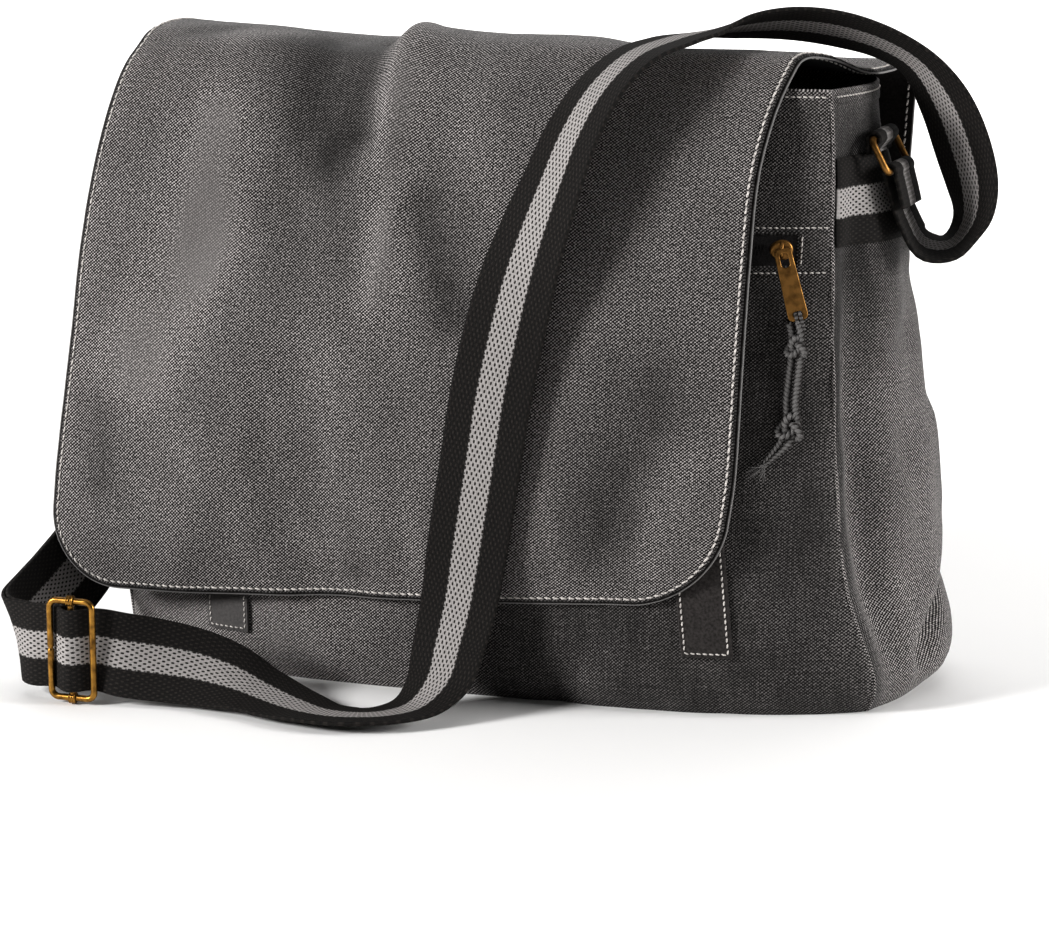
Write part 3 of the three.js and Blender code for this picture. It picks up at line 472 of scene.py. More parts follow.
class BagColours(bpy.types.PropertyGroup):
    """Colours of the bag's materials."""

    canvas_ground: colour("Canvas ground", "Dark ground of the canvas", "#100e0d")
    canvas_thread: colour("Canvas thread", "Pale thread of the canvas", "#d2ccca")
    lining: colour("Lining", "Backing of the flap", "#1a1817")
    webbing: colour("Webbing", "Dark sides of the strap", "#1c1917")
    stripe: colour("Stripe", "Pale stripe of the strap", "#a4a09e")
    shadow: colour("Shadow", "Between the threads of the strap", "#0d0d0d")
    # Pale tint for wear, also used for painted light on the left felt strip, the cord's plies and the
    # backing's edge
    rubbed_and_lit: colour("Rubbed and lit", "Where plain cloth, tape or cord is rubbed pale", "#8b8988")
    felt: colour("Felt", "Closure strips", "#343130")
    nylon: colour("Nylon", "Zip tape and coil", "#2c2a2a")
    brass: colour("Brass", "Strap slider", "#a67d3c")
    bronze: colour("Bronze", "Strap rings, zip slider and pull", "#96703e")
    tarnish: colour("Tarnish", "Dark places on the metal", "#4e361a")
    cord: colour("Cord", "Lanyard on the pull", "#242120")
    thread: colour("Thread", "Stitches", "#bfbab6")
    floor: colour("Floor", "Floor under the bag", "#f2f1f0")


# Curves and surfaces

# The last field holds wear and painted light and shade for each point
Part = namedtuple("Part", "points faces uv worn", defaults=(None, None))


def unit(vectors):
    """Vectors of length one."""
    return vectors / np.maximum(np.linalg.norm(vectors, axis=-1, keepdims=True), 1e-9)


def mix(a, b, t):
    """Value between two others."""
    return a + (b - a) * t


def bell(away, half):
    """Soft bump of height one that has nearly gone at twice its half width."""
    return np.exp(-((away / half) ** 2))


def ramp(place, start, length):
    """Rises from 0 at a start to 1 after a length, which is below zero where it rises the other way."""
    return np.clip((place - start) / length, 0, 1)


def joined(*parts):
    """Points or other rows put together from their parts."""
    return np.stack(np.broadcast_arrays(*parts), axis=-1)


def table(columns, rows):
    """Columns of a table by name."""
    return dict(zip(columns.split(), np.array(rows, float).T))


def column_at(columns, key, column, place):
    """Smooth value of one column at a place along a table, by cubic pieces through its rows."""
    keys = columns[key]
    values = columns[column]
    last = len(keys) - 1
    place = np.clip(place, keys[0], keys[-1])
    row = np.clip(np.searchsorted(keys, place) - 1, 0, last - 1)
    before = np.maximum(np.arange(last + 1) - 1, 0)
    after = np.minimum(np.arange(last + 1) + 1, last)
    slopes = (values[after] - values[before]) / (keys[after] - keys[before])
    span = keys[row + 1] - keys[row]
    t = (place - keys[row]) / span
    low = values[row] * (2 * t**3 - 3 * t**2 + 1) + slopes[row] * span * (t**3 - 2 * t**2 + t)
    return low + values[row + 1] * (3 * t**2 - 2 * t**3) + slopes[row + 1] * span * (t**3 - t**2)


def crease_depth(creases, x, z):
    """Depth of soft grooves along lines that fade at their ends."""
    total = 0
    for from_x, from_z, to_x, to_z, depth, half in creases:
        run_x = to_x - from_x
        run_z = to_z - from_z
        t = np.clip(((x - from_x) * run_x + (z - from_z) * run_z) / (run_x**2 + run_z**2), 0, 1)
        away = np.hypot(x - from_x - t * run_x, z - from_z - t * run_z)
        total = total + depth * bell(away, half)
    return total


def soft_noise(x, z, length, seed):
    """Smooth noise between about -1 and 1 on a cloth, with bumps of a given length."""
    x, z = np.broadcast_arrays(x, z)
    values = [noise.noise((a, b, seed)) for a, b in zip(np.ravel(x) / length, np.ravel(z) / length)]
    return np.reshape(values, x.shape)


def ripples(rows, x, z):
    """Soft bumps of several lengths on a cloth, added up."""
    return sum(height * soft_noise(x, z * drawn, length, seed) for length, drawn, height, seed in rows)


def grid_normals(points):
    """Unit normals of a grid of points."""
    return unit(np.cross(np.gradient(points, axis=1), np.gradient(points, axis=0)))


def arc_length(path):
    """Length along a path at each of its points."""
    return np.concatenate([[0], np.cumsum(np.linalg.norm(np.diff(path, axis=0), axis=1))])


def row_length(points):
    """Length along each row of a grid of points."""
    steps = np.linalg.norm(np.diff(points, axis=1), axis=-1)
    return np.hstack([np.zeros((len(points), 1)), np.cumsum(steps, axis=1)])


def along_path(path, values, places):
    """Values given at a path's points, at places along its length."""
    lengths = arc_length(path)
    return joined(*(np.interp(places, lengths, column) for column in values.T))


def catmull_rom(points, places, power):
    """Points on a smooth curve through the given ones, at places counted in spans."""
    knots = np.vstack([2 * points[0] - points[1], points, 2 * points[-1] - points[-2]])
    span = np.minimum(np.floor(places).astype(int), len(points) - 2)
    t = (places - span)[:, None]
    p0, p1, p2, p3 = (knots[span + k] for k in range(4))
    pairs = ((p0, p1), (p1, p2), (p2, p3))
    gap = [np.linalg.norm(b - a, axis=1, keepdims=True) ** power for a, b in pairs]
    leave = ((p1 - p0) / gap[0] - (p2 - p0) / (gap[0] + gap[1]) + (p2 - p1) / gap[1]) * gap[1]
    reach = ((p2 - p1) / gap[1] - (p3 - p1) / (gap[1] + gap[2]) + (p3 - p2) / gap[2]) * gap[1]
    square = -3 * p1 + 3 * p2 - 2 * leave - reach
    cube = 2 * p1 - 2 * p2 + leave + reach
    return p1 + leave * t + square * t**2 + cube * t**3


def sheet_part(outer, inner, uv, keep=None, worn=None):
    """Closed sheet between two grids of points, with a rounded rim. Keep marks the cells that stay."""
    rows, columns = outer.shape[:2]
    count = rows * columns
    index = np.arange(count).reshape(rows, columns)
    cells = joined(index[:-1, :-1], index[:-1, 1:], index[1:, 1:], index[1:, :-1])
    quads = cells.reshape(-1, 4) if keep is None else cells[keep]
    outer = outer.reshape(-1, 3)
    inner = inner.reshape(-1, 3)
    edges = joined(quads, np.roll(quads, -1, axis=1)).reshape(-1, 2)
    forward = edges[:, 0] * count + edges[:, 1]
    backward = edges[:, 1] * count + edges[:, 0]
    rim = edges[~np.isin(forward, backward)]
    out = np.zeros_like(outer)
    side = unit(np.cross(outer[rim[:, 1]] - outer[rim[:, 0]], outer[rim[:, 0]] - inner[rim[:, 0]]))
    np.add.at(out, rim[:, 0], side)
    np.add.at(out, rim[:, 1], side)
    half = np.linalg.norm(outer - inner, axis=1, keepdims=True) / 2
    middle = (outer + inner) / 2 + unit(out) * half * 0.8
    start, end = rim.T
    faces = np.vstack([
        quads,
        quads[:, ::-1] + count,
        joined(end, start, start + 2 * count, end + 2 * count),
        joined(end + 2 * count, start + 2 * count, start + count, end + count),
    ])
    used = np.unique(faces)
    renumber = np.zeros(3 * count, int)
    renumber[used] = np.arange(len(used))
    points = np.vstack([outer, inner, middle])[used]
    worn = np.zeros(count) if worn is None else worn.ravel()
    uv = np.tile(uv.reshape(-1, 2), (3, 1))
    return Part(points, renumber[faces].tolist(), uv[used], np.tile(worn, 3)[used])


def loft(rings, uv=None, closed=False):
    """Skin of one or more bodies through rings of points, capped at both ends or closed on itself."""
    rings = np.asarray(rings, float)
    bodies = rings.reshape((-1,) + rings.shape[-3:])
    count, sides = bodies.shape[1:3]
    index = np.arange(count * sides).reshape(count, sides)
    if closed:
        index = np.vstack([index, index[:1]])
    beside = np.roll(index, -1, axis=1)
    quads = joined(index[:-1], beside[:-1], beside[1:], index[1:]).reshape(-1, 4).tolist()
    caps = [] if closed else [index[0][::-1].tolist(), index[-1].tolist()]
    faces = []
    for body in range(len(bodies)):
        start = body * count * sides
        faces += [[start + corner for corner in face] for face in quads + caps]
    return Part(bodies.reshape(-1, 3), faces, uv)


def tube(path, radius, up, sides=14, closed=False):
    """Round tube along a path. Up is a direction that the path never runs along."""
    if closed:
        heading = unit(np.roll(path, -1, axis=0) - np.roll(path, 1, axis=0))
    else:
        heading = unit(np.gradient(path, axis=0))
    across = unit(np.cross(heading, np.broadcast_to(up, path.shape)))
    lift = np.cross(across, heading)
    turn = np.linspace(0, 2 * np.pi, sides, endpoint=False)[None, :, None]
    radius = np.broadcast_to(radius, len(path))[:, None, None]
    rings = path[:, None] + radius * (np.cos(turn) * across[:, None] + np.sin(turn) * lift[:, None])
    run = np.repeat(arc_length(path), sides)
    round_run = np.tile(np.arange(sides) / sides, len(path)) * 2 * np.pi * np.ravel(radius)[0]
    return loft(rings, joined(round_run, run), closed)


def webbing_part(points, across, width, thickness):
    """Webbing along stations, with rounded edges and cloth coordinates across and along it."""
    heading = np.gradient(points, axis=0)
    normal = unit(np.cross(heading, across))
    half = width / 2
    spread = half - np.array([0, 0.15, 0.5, 1.1, 2.5, half / 2, half])
    rise = thickness / 2 * np.array([0, 0.55, 0.88, 1, 1, 1, 1])
    side = np.concatenate([spread, -spread[-2::-1]])
    high = np.concatenate([rise, rise[-2::-1]])
    side = np.concatenate([side, side[-2:0:-1]])
    high = np.concatenate([high, -high[-2:0:-1]])
    rings = points[:, None] + side[None, :, None] * across[:, None] + high[None, :, None] * normal[:, None]
    run = np.repeat(arc_length(points), len(side))
    return loft(rings, joined(np.tile(side, len(points)), run))


def stations(rows):
    """Middle points and directions across from rows of a strap route."""
    rows = np.array(rows, float)
    plan, lift = np.radians(rows[:, 3:]).T
    return rows[:, :3], joined(np.cos(plan) * np.cos(lift), np.sin(plan) * np.cos(lift), np.sin(lift))


def turn_on_rod(middle, first, last, sizes):
    """Middle points of webbing round a rod along Y, between two angles in the XZ plane."""
    radius = sizes["wire"] + TOUCH + sizes["webbing"] / 2
    angle = np.linspace(first, last, 22)
    x, z = middle
    return joined(x + np.cos(angle) * radius, RING_Y, z + np.sin(angle) * radius)


def rounded_rectangle(width, height, corner, steps):
    """Points round a rectangle with rounded corners, centred on the origin."""
    points = []
    for quarter, (side_x, side_y) in enumerate(((1, -1), (1, 1), (-1, 1), (-1, -1))):
        angle = np.linspace(quarter - 1, quarter, steps) * np.pi / 2
        x = side_x * (width / 2 - corner) + corner * np.cos(angle)
        y = side_y * (height / 2 - corner) + corner * np.sin(angle)
        points.append(joined(x, y))
    return np.vstack(points)


def closed_spacing(points, step):
    """Closed outline walked in even steps."""
    loop = np.vstack([points, points[:1]])
    total = arc_length(loop)[-1]
    return along_path(loop, loop, np.linspace(0, total, round(total / step), endpoint=False))


def placed(part, axes, origin):
    """A part moved from its own axes, given as rows, to its place."""
    return part._replace(points=part.points @ np.array(axes) + np.array(origin))


def plate(outlines, thickness, bevel):
    """Flat plate with rounded edges between outlines, the first its outside and the others holes."""
    shape = bpy.data.curves.new("plate", "CURVE")
    shape.dimensions = "2D"
    shape.fill_mode = "BOTH"
    shape.extrude = thickness / 2 - bevel
    shape.bevel_depth = bevel
    shape.bevel_resolution = 3
    shape.offset = -bevel
    for outline in outlines:
        spline = shape.splines.new("POLY")
        spline.points.add(len(outline) - 1)
        corners = np.hstack([outline, np.zeros((len(outline), 1)), np.ones((len(outline), 1))])
        spline.points.foreach_set("co", corners.ravel())
        spline.use_cyclic_u = True
    holder = bpy.data.objects.new("plate", shape)
    bpy.context.scene.collection.objects.link(holder)
    solid = bpy.data.meshes.new_from_object(holder.evaluated_get(bpy.context.evaluated_depsgraph_get()))
    points = np.array([vertex.co[:] for vertex in solid.vertices])
    faces = [list(face.vertices) for face in solid.polygons]
    bpy.data.objects.remove(holder)
    bpy.data.curves.remove(shape)
    bpy.data.meshes.remove(solid)
    return Part(points, faces)


def stitch_row(path, normals, pitch, length, width):
    """Short rounded threads laid end to end along a path on a surface."""
    total = arc_length(path)[-1]
    count = max(1, round(total / pitch))
    places = (np.arange(count) + 0.5) * total / count
    centre = along_path(path, path, places)
    ahead = along_path(path, path, np.minimum(places + length / 4, total))
    behind = along_path(path, path, np.maximum(places - length / 4, 0))
    normal = unit(along_path(path, normals, places))
    heading = unit(ahead - behind)
    across = unit(np.cross(heading, normal))
    heading = unit(heading + STITCH_SLANT * across)
    spot = np.array([-1, -0.72, 0, 0.72, 1])
    swell = np.array([0.3, 0.85, 1, 0.85, 0.3])
    turn = np.arange(7) / 7 * 2 * np.pi
    along = (spot * length / 2)[None, :, None, None] * heading[:, None, None]
    wide = (np.outer(swell, np.cos(turn)) * width / 2)[None, ..., None] * across[:, None, None]
    dip = (swell - 0.75)[:, None] * 0.5
    high = ((np.outer(swell, np.sin(turn)) * 0.45 + dip) * width)[None, ..., None] * normal[:, None, None]
    return loft(centre[:, None, None] + along + wide + high)


def add_piece(name, parts, surface, nodes=(), sharp=50):
    """Joins parts into one object that rides on the bag and stands for the given nodes."""
    points = np.vstack([part.points for part in parts])
    points[:, 2] = np.maximum(points[:, 2], 0)
    faces = []
    start = 0
    for part in parts:
        faces += [[start + corner for corner in face] for face in part.faces]
        start += len(part.points)
    mesh = bpy.data.meshes.new(name)
    mesh.from_pydata((points * MM).tolist(), [], faces)
    whole = bmesh.new()
    whole.from_mesh(mesh)
    bmesh.ops.recalc_face_normals(whole, faces=whole.faces)
    whole.to_mesh(mesh)
    whole.free()
    uv = [np.zeros((len(part.points), 2)) if part.uv is None else part.uv for part in parts]
    corner = np.zeros(len(mesh.loops), int)
    mesh.loops.foreach_get("vertex_index", corner)
    mesh.uv_layers.new(name="cloth").data.foreach_set("uv", np.vstack(uv)[corner].ravel())
    # Wear and painted light and shade, for the materials to read
    worn = [np.zeros(len(part.points)) if part.worn is None else part.worn for part in parts]
    mesh.attributes.new("worn", "FLOAT", "POINT").data.foreach_set("value", np.concatenate(worn))
    mesh.shade_smooth()
    mesh.set_sharp_from_angle(angle=math.radians(sharp))
    mesh.materials.append(surface)
    piece = bpy.data.objects.new(name, mesh)
    bpy.context.scene.collection.objects.link(piece)
    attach(piece, "root")
    if nodes:
        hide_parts(*nodes)
    return piece


def sizes_in_mm(context):
    """Sizes of the add-on in millimetres, by name."""
    group = context.scene.bag_sizes
    return {name: getattr(group, name) / MM for name in group.__annotations__}


# Body surfaces

BODY = table(BODY_COLUMNS, BODY_SECTIONS)
FLAP = table(FLAP_COLUMNS, FLAP_RIBS)
flap_steps = np.hypot(np.diff(FLAP["y"]), np.diff((FLAP["left_z"] + FLAP["right_z"]) / 2))
FLAP["along"] = np.concatenate([[0], np.cumsum(flap_steps)])
FLAP_LENGTH = FLAP["along"][-1]


def body_at(z):
    """The body's columns at a height, drawn in where the walls round to the base."""
    section = {name: column_at(BODY, "z", name, z) for name in BODY}
    inset = BASE_INSET * np.maximum(0, 1 - z / BASE_ROUND) ** 2
    for name in ("front_left", "back_left", "front_y"):
        section[name] = section[name] + inset
    for name in ("front_right", "back_right", "back_y"):
        section[name] = section[name] - inset
    return section


def front_face(x, z):
    """y of the front panel's face at a place on it."""
    section = body_at(z)
    middle = (section["front_left"] + section["front_right"]) / 2
    half = (section["front_right"] - section["front_left"]) / 2
    full = 1 - np.abs(np.clip((x - middle) / half, -1, 1)) ** BELLY_POWER
    return section["front_y"] - section["belly"] * full + crease_depth(FRONT_CREASES, x, z) * full


def front_point(x, z, out=0):
    """Point in front of the front panel."""
    return joined(x, front_face(x, z) - out, z)


def back_point(s, z):
    """Point on the back panel, from s = -1 at the right seam to 1 at the left one."""
    section = body_at(z)
    x = mix(section["back_right"], section["back_left"], (s + 1) / 2)
    y = section["back_y"] + section["back_belly"] * (1 - np.abs(s) ** BELLY_POWER)
    return joined(x, y, z)


def gusset_point(t, z, side):
    """Point on a gusset, from t = 0 at the front seam to 1 at the back seam."""
    section = body_at(z)
    front = section["front_right"] if side > 0 else section["front_left"]
    back = section["back_right"] if side > 0 else section["back_left"]
    y = mix(section["front_y"], section["back_y"], t)
    ends = np.sin(np.pi * np.clip(t, 0, 1))
    fold = bell(t - TUCK_PLACE, TUCK_WIDTH)
    swell = section["swell"] if side > 0 else section["left_swell"]
    out = swell * ends - section["tuck"] * fold * np.sqrt(ends)
    out = out - crease_depth(GUSSET_CREASES, y, z) * ends
    return joined(mix(front, back, t) + side * out, y, z)


def flap_rest(x, along):
    """Point on the flap's outer face before its folds, and the slope of its rib."""
    rib = {name: column_at(FLAP, "along", name, along) for name in FLAP}
    across = (x - rib["left"]) / (rib["right"] - rib["left"])
    y = mix(rib["y"], rib["end_y"], np.abs(2 * across - 1) ** 3)
    z = mix(rib["left_z"], rib["right_z"], across)
    slope = (rib["right_z"] - rib["left_z"]) / (rib["right"] - rib["left"])
    return joined(x, y, z), slope


def flap_edges(along, inset):
    """Left and right ends of the flap at a length from the hem, drawn in by an inset."""
    ends = []
    for side, radius, name in ((1, CORNER_LEFT, "left"), (-1, CORNER_RIGHT, "right")):
        short = np.maximum(0, radius - along)
        room = np.sqrt(np.maximum(0, (radius - inset) ** 2 - short**2))
        ends.append(column_at(FLAP, "along", name, along) + side * (radius - room))
    return ends


def flap_edge_distance(x, along):
    """Distance on the cloth from the flap's outline."""
    left = x - column_at(FLAP, "along", "left", along)
    right = column_at(FLAP, "along", "right", along) - x
    distance = np.minimum(np.minimum(left, right), along)
    for side, radius in ((left, CORNER_LEFT), (right, CORNER_RIGHT)):
        in_corner = (side < radius) & (along < radius)
        arc = radius - np.hypot(radius - side, radius - along)
        distance = np.where(in_corner, arc, distance)
    return distance


def flap_surface(x, along, depth):
    """Points below the flap's outer face by a depth, with the normals of the cloth."""
    x, along = np.broadcast_arrays(np.asarray(x, float), np.asarray(along, float))
    rest, slope = flap_rest(x, along)
    ahead = flap_rest(x, np.minimum(along + 0.5, FLAP_LENGTH))[0]
    behind = flap_rest(x, np.maximum(along - 0.5, 0))[0]
    normal = unit(np.cross(joined(1, 0, slope), ahead - behind))
    sink = depth + crease_depth(FLAP_FOLDS + FLAP_WRINKLES, x, along) + ripples(FLAP_RIPPLES, x, along)
    return rest - normal * sink[..., None], normal


def front_columns(z):
    """x of the front panel's columns at each height, lined up with the ends of the zip window."""
    section = body_at(z)
    left = section["front_left"][:, None]
    right = section["front_right"][:, None]
    near = np.array([0, 0.03, 0.07, 0.12, 0.19, 0.28, 0.4, 0.55, 0.75])
    first = mix(left, ZIP_LEFT, near)
    middle = np.broadcast_to(np.linspace(ZIP_LEFT, ZIP_RIGHT, WINDOW_COLUMNS), (len(z), WINDOW_COLUMNS))
    last = mix(right, ZIP_RIGHT, near)[:, ::-1]
    return np.hstack([first, middle, last]), len(near)


def body_rows():
    """Heights of the rows in the body panels, close together at the base, the zip and the mouth."""
    base = [0, 0.8, 1.8, 3, 4.5, 6.5, 9, 12]
    low = np.linspace(16, ZIP_BOTTOM - 5, 60)
    welt = np.array([0, 1.4, ZIP_STITCH, 3.6])
    window = [ZIP_MIDDLE - 3, ZIP_MIDDLE, ZIP_MIDDLE + 3]
    high = np.linspace(ZIP_TOP + 5, MOUTH_HEIGHT - 11, 16)
    hem = MOUTH_HEIGHT - np.array([9.4, 8.6, 7.8, 6, 4.8, 3.8, HEM_STITCH, 1.6, 0.7, 0])
    return np.concatenate([base, low, ZIP_BOTTOM - welt[::-1], window, ZIP_TOP + welt, high, hem])


def hem_lift(z):
    """How far the folded hem at the mouth stands out, with a dip under its stitches."""
    from_top = MOUTH_HEIGHT - z
    fold = HEM_RISE * (1 - np.tanh((from_top - HEM_WIDTH) * 2))
    return fold - 0.35 * bell(from_top - HEM_STITCH, 0.9)


def turned(axis, angle):
    """Rotation matrix about one axis."""
    return np.array(Matrix.Rotation(angle, 3, axis))


def fitting_point(points):
    """Points given from the zip slider's middle, in their place on the sloping front panel."""
    face = front_face(FITTINGS_X, FITTINGS_Z)
    before = front_face(FITTINGS_X - SHIELD_LENGTH / 2, FITTINGS_Z)
    after = front_face(FITTINGS_X + SHIELD_LENGTH / 2, FITTINGS_Z)
    slope = math.atan(float(after - before) / SHIELD_LENGTH)
    axes = (turned("X", math.pi / 2) @ turned("Y", slope)).T
    return np.asarray(points, float) @ axes + (FITTINGS_X, face + TAPE_DEPTH, FITTINGS_Z)


def pull_point(points):
    """Points given from the pull's upper end, in their place as it hangs."""
    tilt = math.radians(PULL_TILT)
    face = front_face(FITTINGS_X, FITTINGS_Z)
    foot = front_face(FITTINGS_X + PULL_LENGTH * math.sin(tilt), FITTINGS_Z - PULL_LENGTH)
    lean = -math.atan2(face - foot, PULL_LENGTH)
    swing = (turned("X", lean) @ turned("Z", tilt)).T
    return fitting_point(np.asarray(points, float) @ swing + PULL_HANG)


# Materials


def set_inputs(tree, node, inputs):
    """Sets or links a node's inputs, given by name or number."""
    for key, value in inputs.items():
        if isinstance(value, bpy.types.NodeSocket):
            tree.links.new(value, node.inputs[key])
        else:
            node.inputs[key].default_value = value


def add_node(tree, kind, inputs=None, out=0, **settings):
    """Adds a shader node with its settings and inputs, and gives one of its outputs."""
    node = tree.nodes.new("ShaderNode" + kind)
    for name, value in settings.items():
        setattr(node, name, value)
    set_inputs(tree, node, inputs or {})
    return node.outputs[out]


def new_material(name):
    """Empty material, its node tree and its surface node."""
    made = bpy.data.materials.new(name)
    made.use_nodes = True
    tree = made.node_tree
    return made, tree, tree.nodes["Principled BSDF"]


def shade(tint, amount):
    """A colour made darker or lighter."""
    return tuple(part * amount for part in tint[:3]) + (1.0,)


def cloth_axes(tree, wobble):
    """Cloth coordinates in millimetres, and the same along both threads, drawn a little uneven."""
    place = add_node(tree, "UVMap", uv_map="cloth")
    drift = add_node(tree, "TexNoise", {"Vector": place, "Scale": 1 / THREAD_DRIFT, "Detail": 2.0}, "Color")
    moved = add_node(tree, "VectorMath", {
        0: drift, 1: (wobble, wobble, 0.0), 2: place,
    }, operation="MULTIPLY_ADD")
    u, v, _ = add_node(tree, "SeparateXYZ", {0: moved}).node.outputs
    return place, u, v


def product_of_waves(tree, u, v, lengths):
    """Product of two sine waves with the given half lengths in millimetres."""
    waves = []
    for axis, length in zip((u, v), lengths):
        phase = add_node(tree, "Math", {0: axis, 1: math.pi / length}, operation="MULTIPLY")
        waves.append(add_node(tree, "Math", {0: phase}, operation="SINE"))
    return add_node(tree, "Math", {0: waves[0], 1: waves[1]}, operation="MULTIPLY")


def canvas_material(sizes, colours):
    """Washed canvas: pale thread dots in staggered rows over a dark ground, faded in soft patches, with
    wear and painted light and shade from each piece.
    """
    made, tree, surface = new_material("Washed canvas")
    place, u, v = cloth_axes(tree, 0.5)
    # Two slanted waves cross in staggered dots, and the one that rises to the right is stronger.
    turns = [
        add_node(tree, "Math", {0: axis, 1: math.pi / pitch}, operation="MULTIPLY")
        for axis, pitch in ((u, sizes["warp"]), (v, sizes["weft"]))
    ]
    weave = 0.0
    for operation, strength in (("SUBTRACT", 0.5), ("ADD", 0.38)):
        slant = add_node(tree, "Math", {0: turns[0], 1: turns[1]}, operation=operation)
        wave = add_node(tree, "Math", {0: slant}, operation="COSINE")
        weave = add_node(tree, "Math", {0: wave, 1: strength, 2: weave}, operation="MULTIPLY_ADD")
    grain = add_node(tree, "TexNoise", {"Vector": place, "Scale": 1 / THREAD_GRAIN, "Detail": 2.0})
    uneven = add_node(tree, "Math", {0: grain, 1: 2.0, 2: weave}, operation="MULTIPLY_ADD")
    dots = add_node(tree, "MapRange", {"Value": uneven, "From Min": 0.95, "From Max": 1.62})
    # Threads that took the dye unevenly, as short streaks both ways
    thin = 1 / STREAK_WIDTH
    long = 1 / STREAK_LENGTH
    streaks = []
    for stretch in ((long, thin, 1.0), (thin, long, 1.0)):
        spread = add_node(tree, "VectorMath", {0: place, 1: stretch}, operation="MULTIPLY")
        streaks.append(add_node(tree, "TexNoise", {"Vector": spread, "Scale": 1.0, "Detail": 1.0}))
    streak = add_node(tree, "Math", {0: streaks[0], 1: streaks[1]}, operation="ADD")
    # Washed patches, twice as long down the cloth as across it
    tall = add_node(tree, "VectorMath", {0: place, 1: (1.0, 0.5, 1.0)}, operation="MULTIPLY")
    patch = add_node(tree, "TexNoise", {
        "Vector": tall, "Scale": 1 / PATCH_WIDTH, "Detail": 4.0, "Roughness": 0.6,
    })
    # Wear and painted light and shade of each piece
    worn = add_node(tree, "Attribute", None, "Fac", attribute_name="worn")
    wear_and_light_total = add_node(tree, "Math", {0: patch, 1: 0.5, 2: worn}, operation="MULTIPLY_ADD")
    pale = add_node(tree, "Math", {0: streak, 1: 0.3, 2: wear_and_light_total}, operation="MULTIPLY_ADD")
    lit = add_node(tree, "MapRange", {
        "Value": pale, "From Min": 0.05, "From Max": 0.95, "To Min": 0.1, "To Max": 1.0,
    })
    amount = add_node(tree, "Math", {0: dots, 1: lit}, operation="MULTIPLY")
    # The nap hides the weave where the wear and the painted light add up highest
    nap = add_node(tree, "MapRange", {"Value": wear_and_light_total, "From Min": 0.4, "From Max": 0.66, "To Max": 0.75})
    amount = add_node(tree, "Mix", {0: nap, 2: amount, 3: 0.2})
    base = add_node(tree, "Mix", {
        0: amount, 6: colours.canvas_ground, 7: colours.canvas_thread,
    }, 2, data_type="RGBA")
    set_inputs(tree, surface, {
        "Base Color": base,
        "Normal": add_node(tree, "Bump", {"Height": dots, "Strength": 0.55, "Distance": 0.4 * MM}),
        "Roughness": 0.92,
        "Specular IOR Level": 0.2,
        "Sheen Weight": 0.08,
    })
    return made


def webbing_material(sizes, colours):
    """Webbing: dark sides with a faint twill, and a pale stripe broken by staggered dark gaps."""
    made, tree, surface = new_material("Striped webbing")
    place, u, v = cloth_axes(tree, 0.3)
    away = add_node(tree, "Math", {0: u}, operation="ABSOLUTE")
    half = sizes["stripe"] / 2
    ragged = product_of_waves(tree, u, v, RAGGED_EDGE)
    edge = add_node(tree, "Math", {0: ragged, 1: 0.45, 2: away}, operation="MULTIPLY_ADD")
    stripe = add_node(tree, "MapRange", {"Value": edge, "From Min": half + 0.35, "From Max": half - 0.35})
    gaps = product_of_waves(tree, u, v, STRIPE_GAPS)
    hole = add_node(tree, "MapRange", {
        "Value": gaps, "From Min": 0.22, "From Max": 0.58,
    }, interpolation_type="SMOOTHSTEP")
    slant = add_node(tree, "Math", {0: u, 1: v}, operation="ADD")
    twill = product_of_waves(tree, slant, v, TWILL)
    fuzz = add_node(tree, "TexNoise", {"Vector": place, "Scale": 1 / WEBBING_GRAIN, "Detail": 3.0})
    ribs = add_node(tree, "Math", {0: twill, 1: 0.35, 2: fuzz}, operation="MULTIPLY_ADD")
    dark = add_node(tree, "Mix", {
        0: ribs, 6: colours.shadow, 7: colours.webbing,
    }, 2, data_type="RGBA", clamp_factor=False)
    # The raised floats of the dark sides catch a little light
    fleck = add_node(tree, "MapRange", {"Value": gaps, "From Min": 0.2, "From Max": 0.9, "To Max": 0.36})
    dark = add_node(tree, "Mix", {0: fleck, 6: dark, 7: shade(colours.webbing, 5)}, 2, data_type="RGBA")
    grey = add_node(tree, "Mix", {
        0: ribs, 6: shade(colours.stripe, 0.7), 7: colours.stripe,
    }, 2, data_type="RGBA")
    holed = add_node(tree, "Mix", {0: hole, 6: grey, 7: colours.webbing}, 2, data_type="RGBA")
    base = add_node(tree, "Mix", {0: stripe, 6: dark, 7: holed}, 2, data_type="RGBA")
    sunk = add_node(tree, "Math", {0: stripe, 1: hole}, operation="MULTIPLY")
    height = add_node(tree, "Math", {0: ribs, 1: sunk}, operation="SUBTRACT")
    set_inputs(tree, surface, {
        "Base Color": base,
        "Normal": add_node(tree, "Bump", {"Height": height, "Strength": 0.5, "Distance": 0.5 * MM}),
        "Roughness": 0.85,
        "Specular IOR Level": 0.18,
    })
    return made


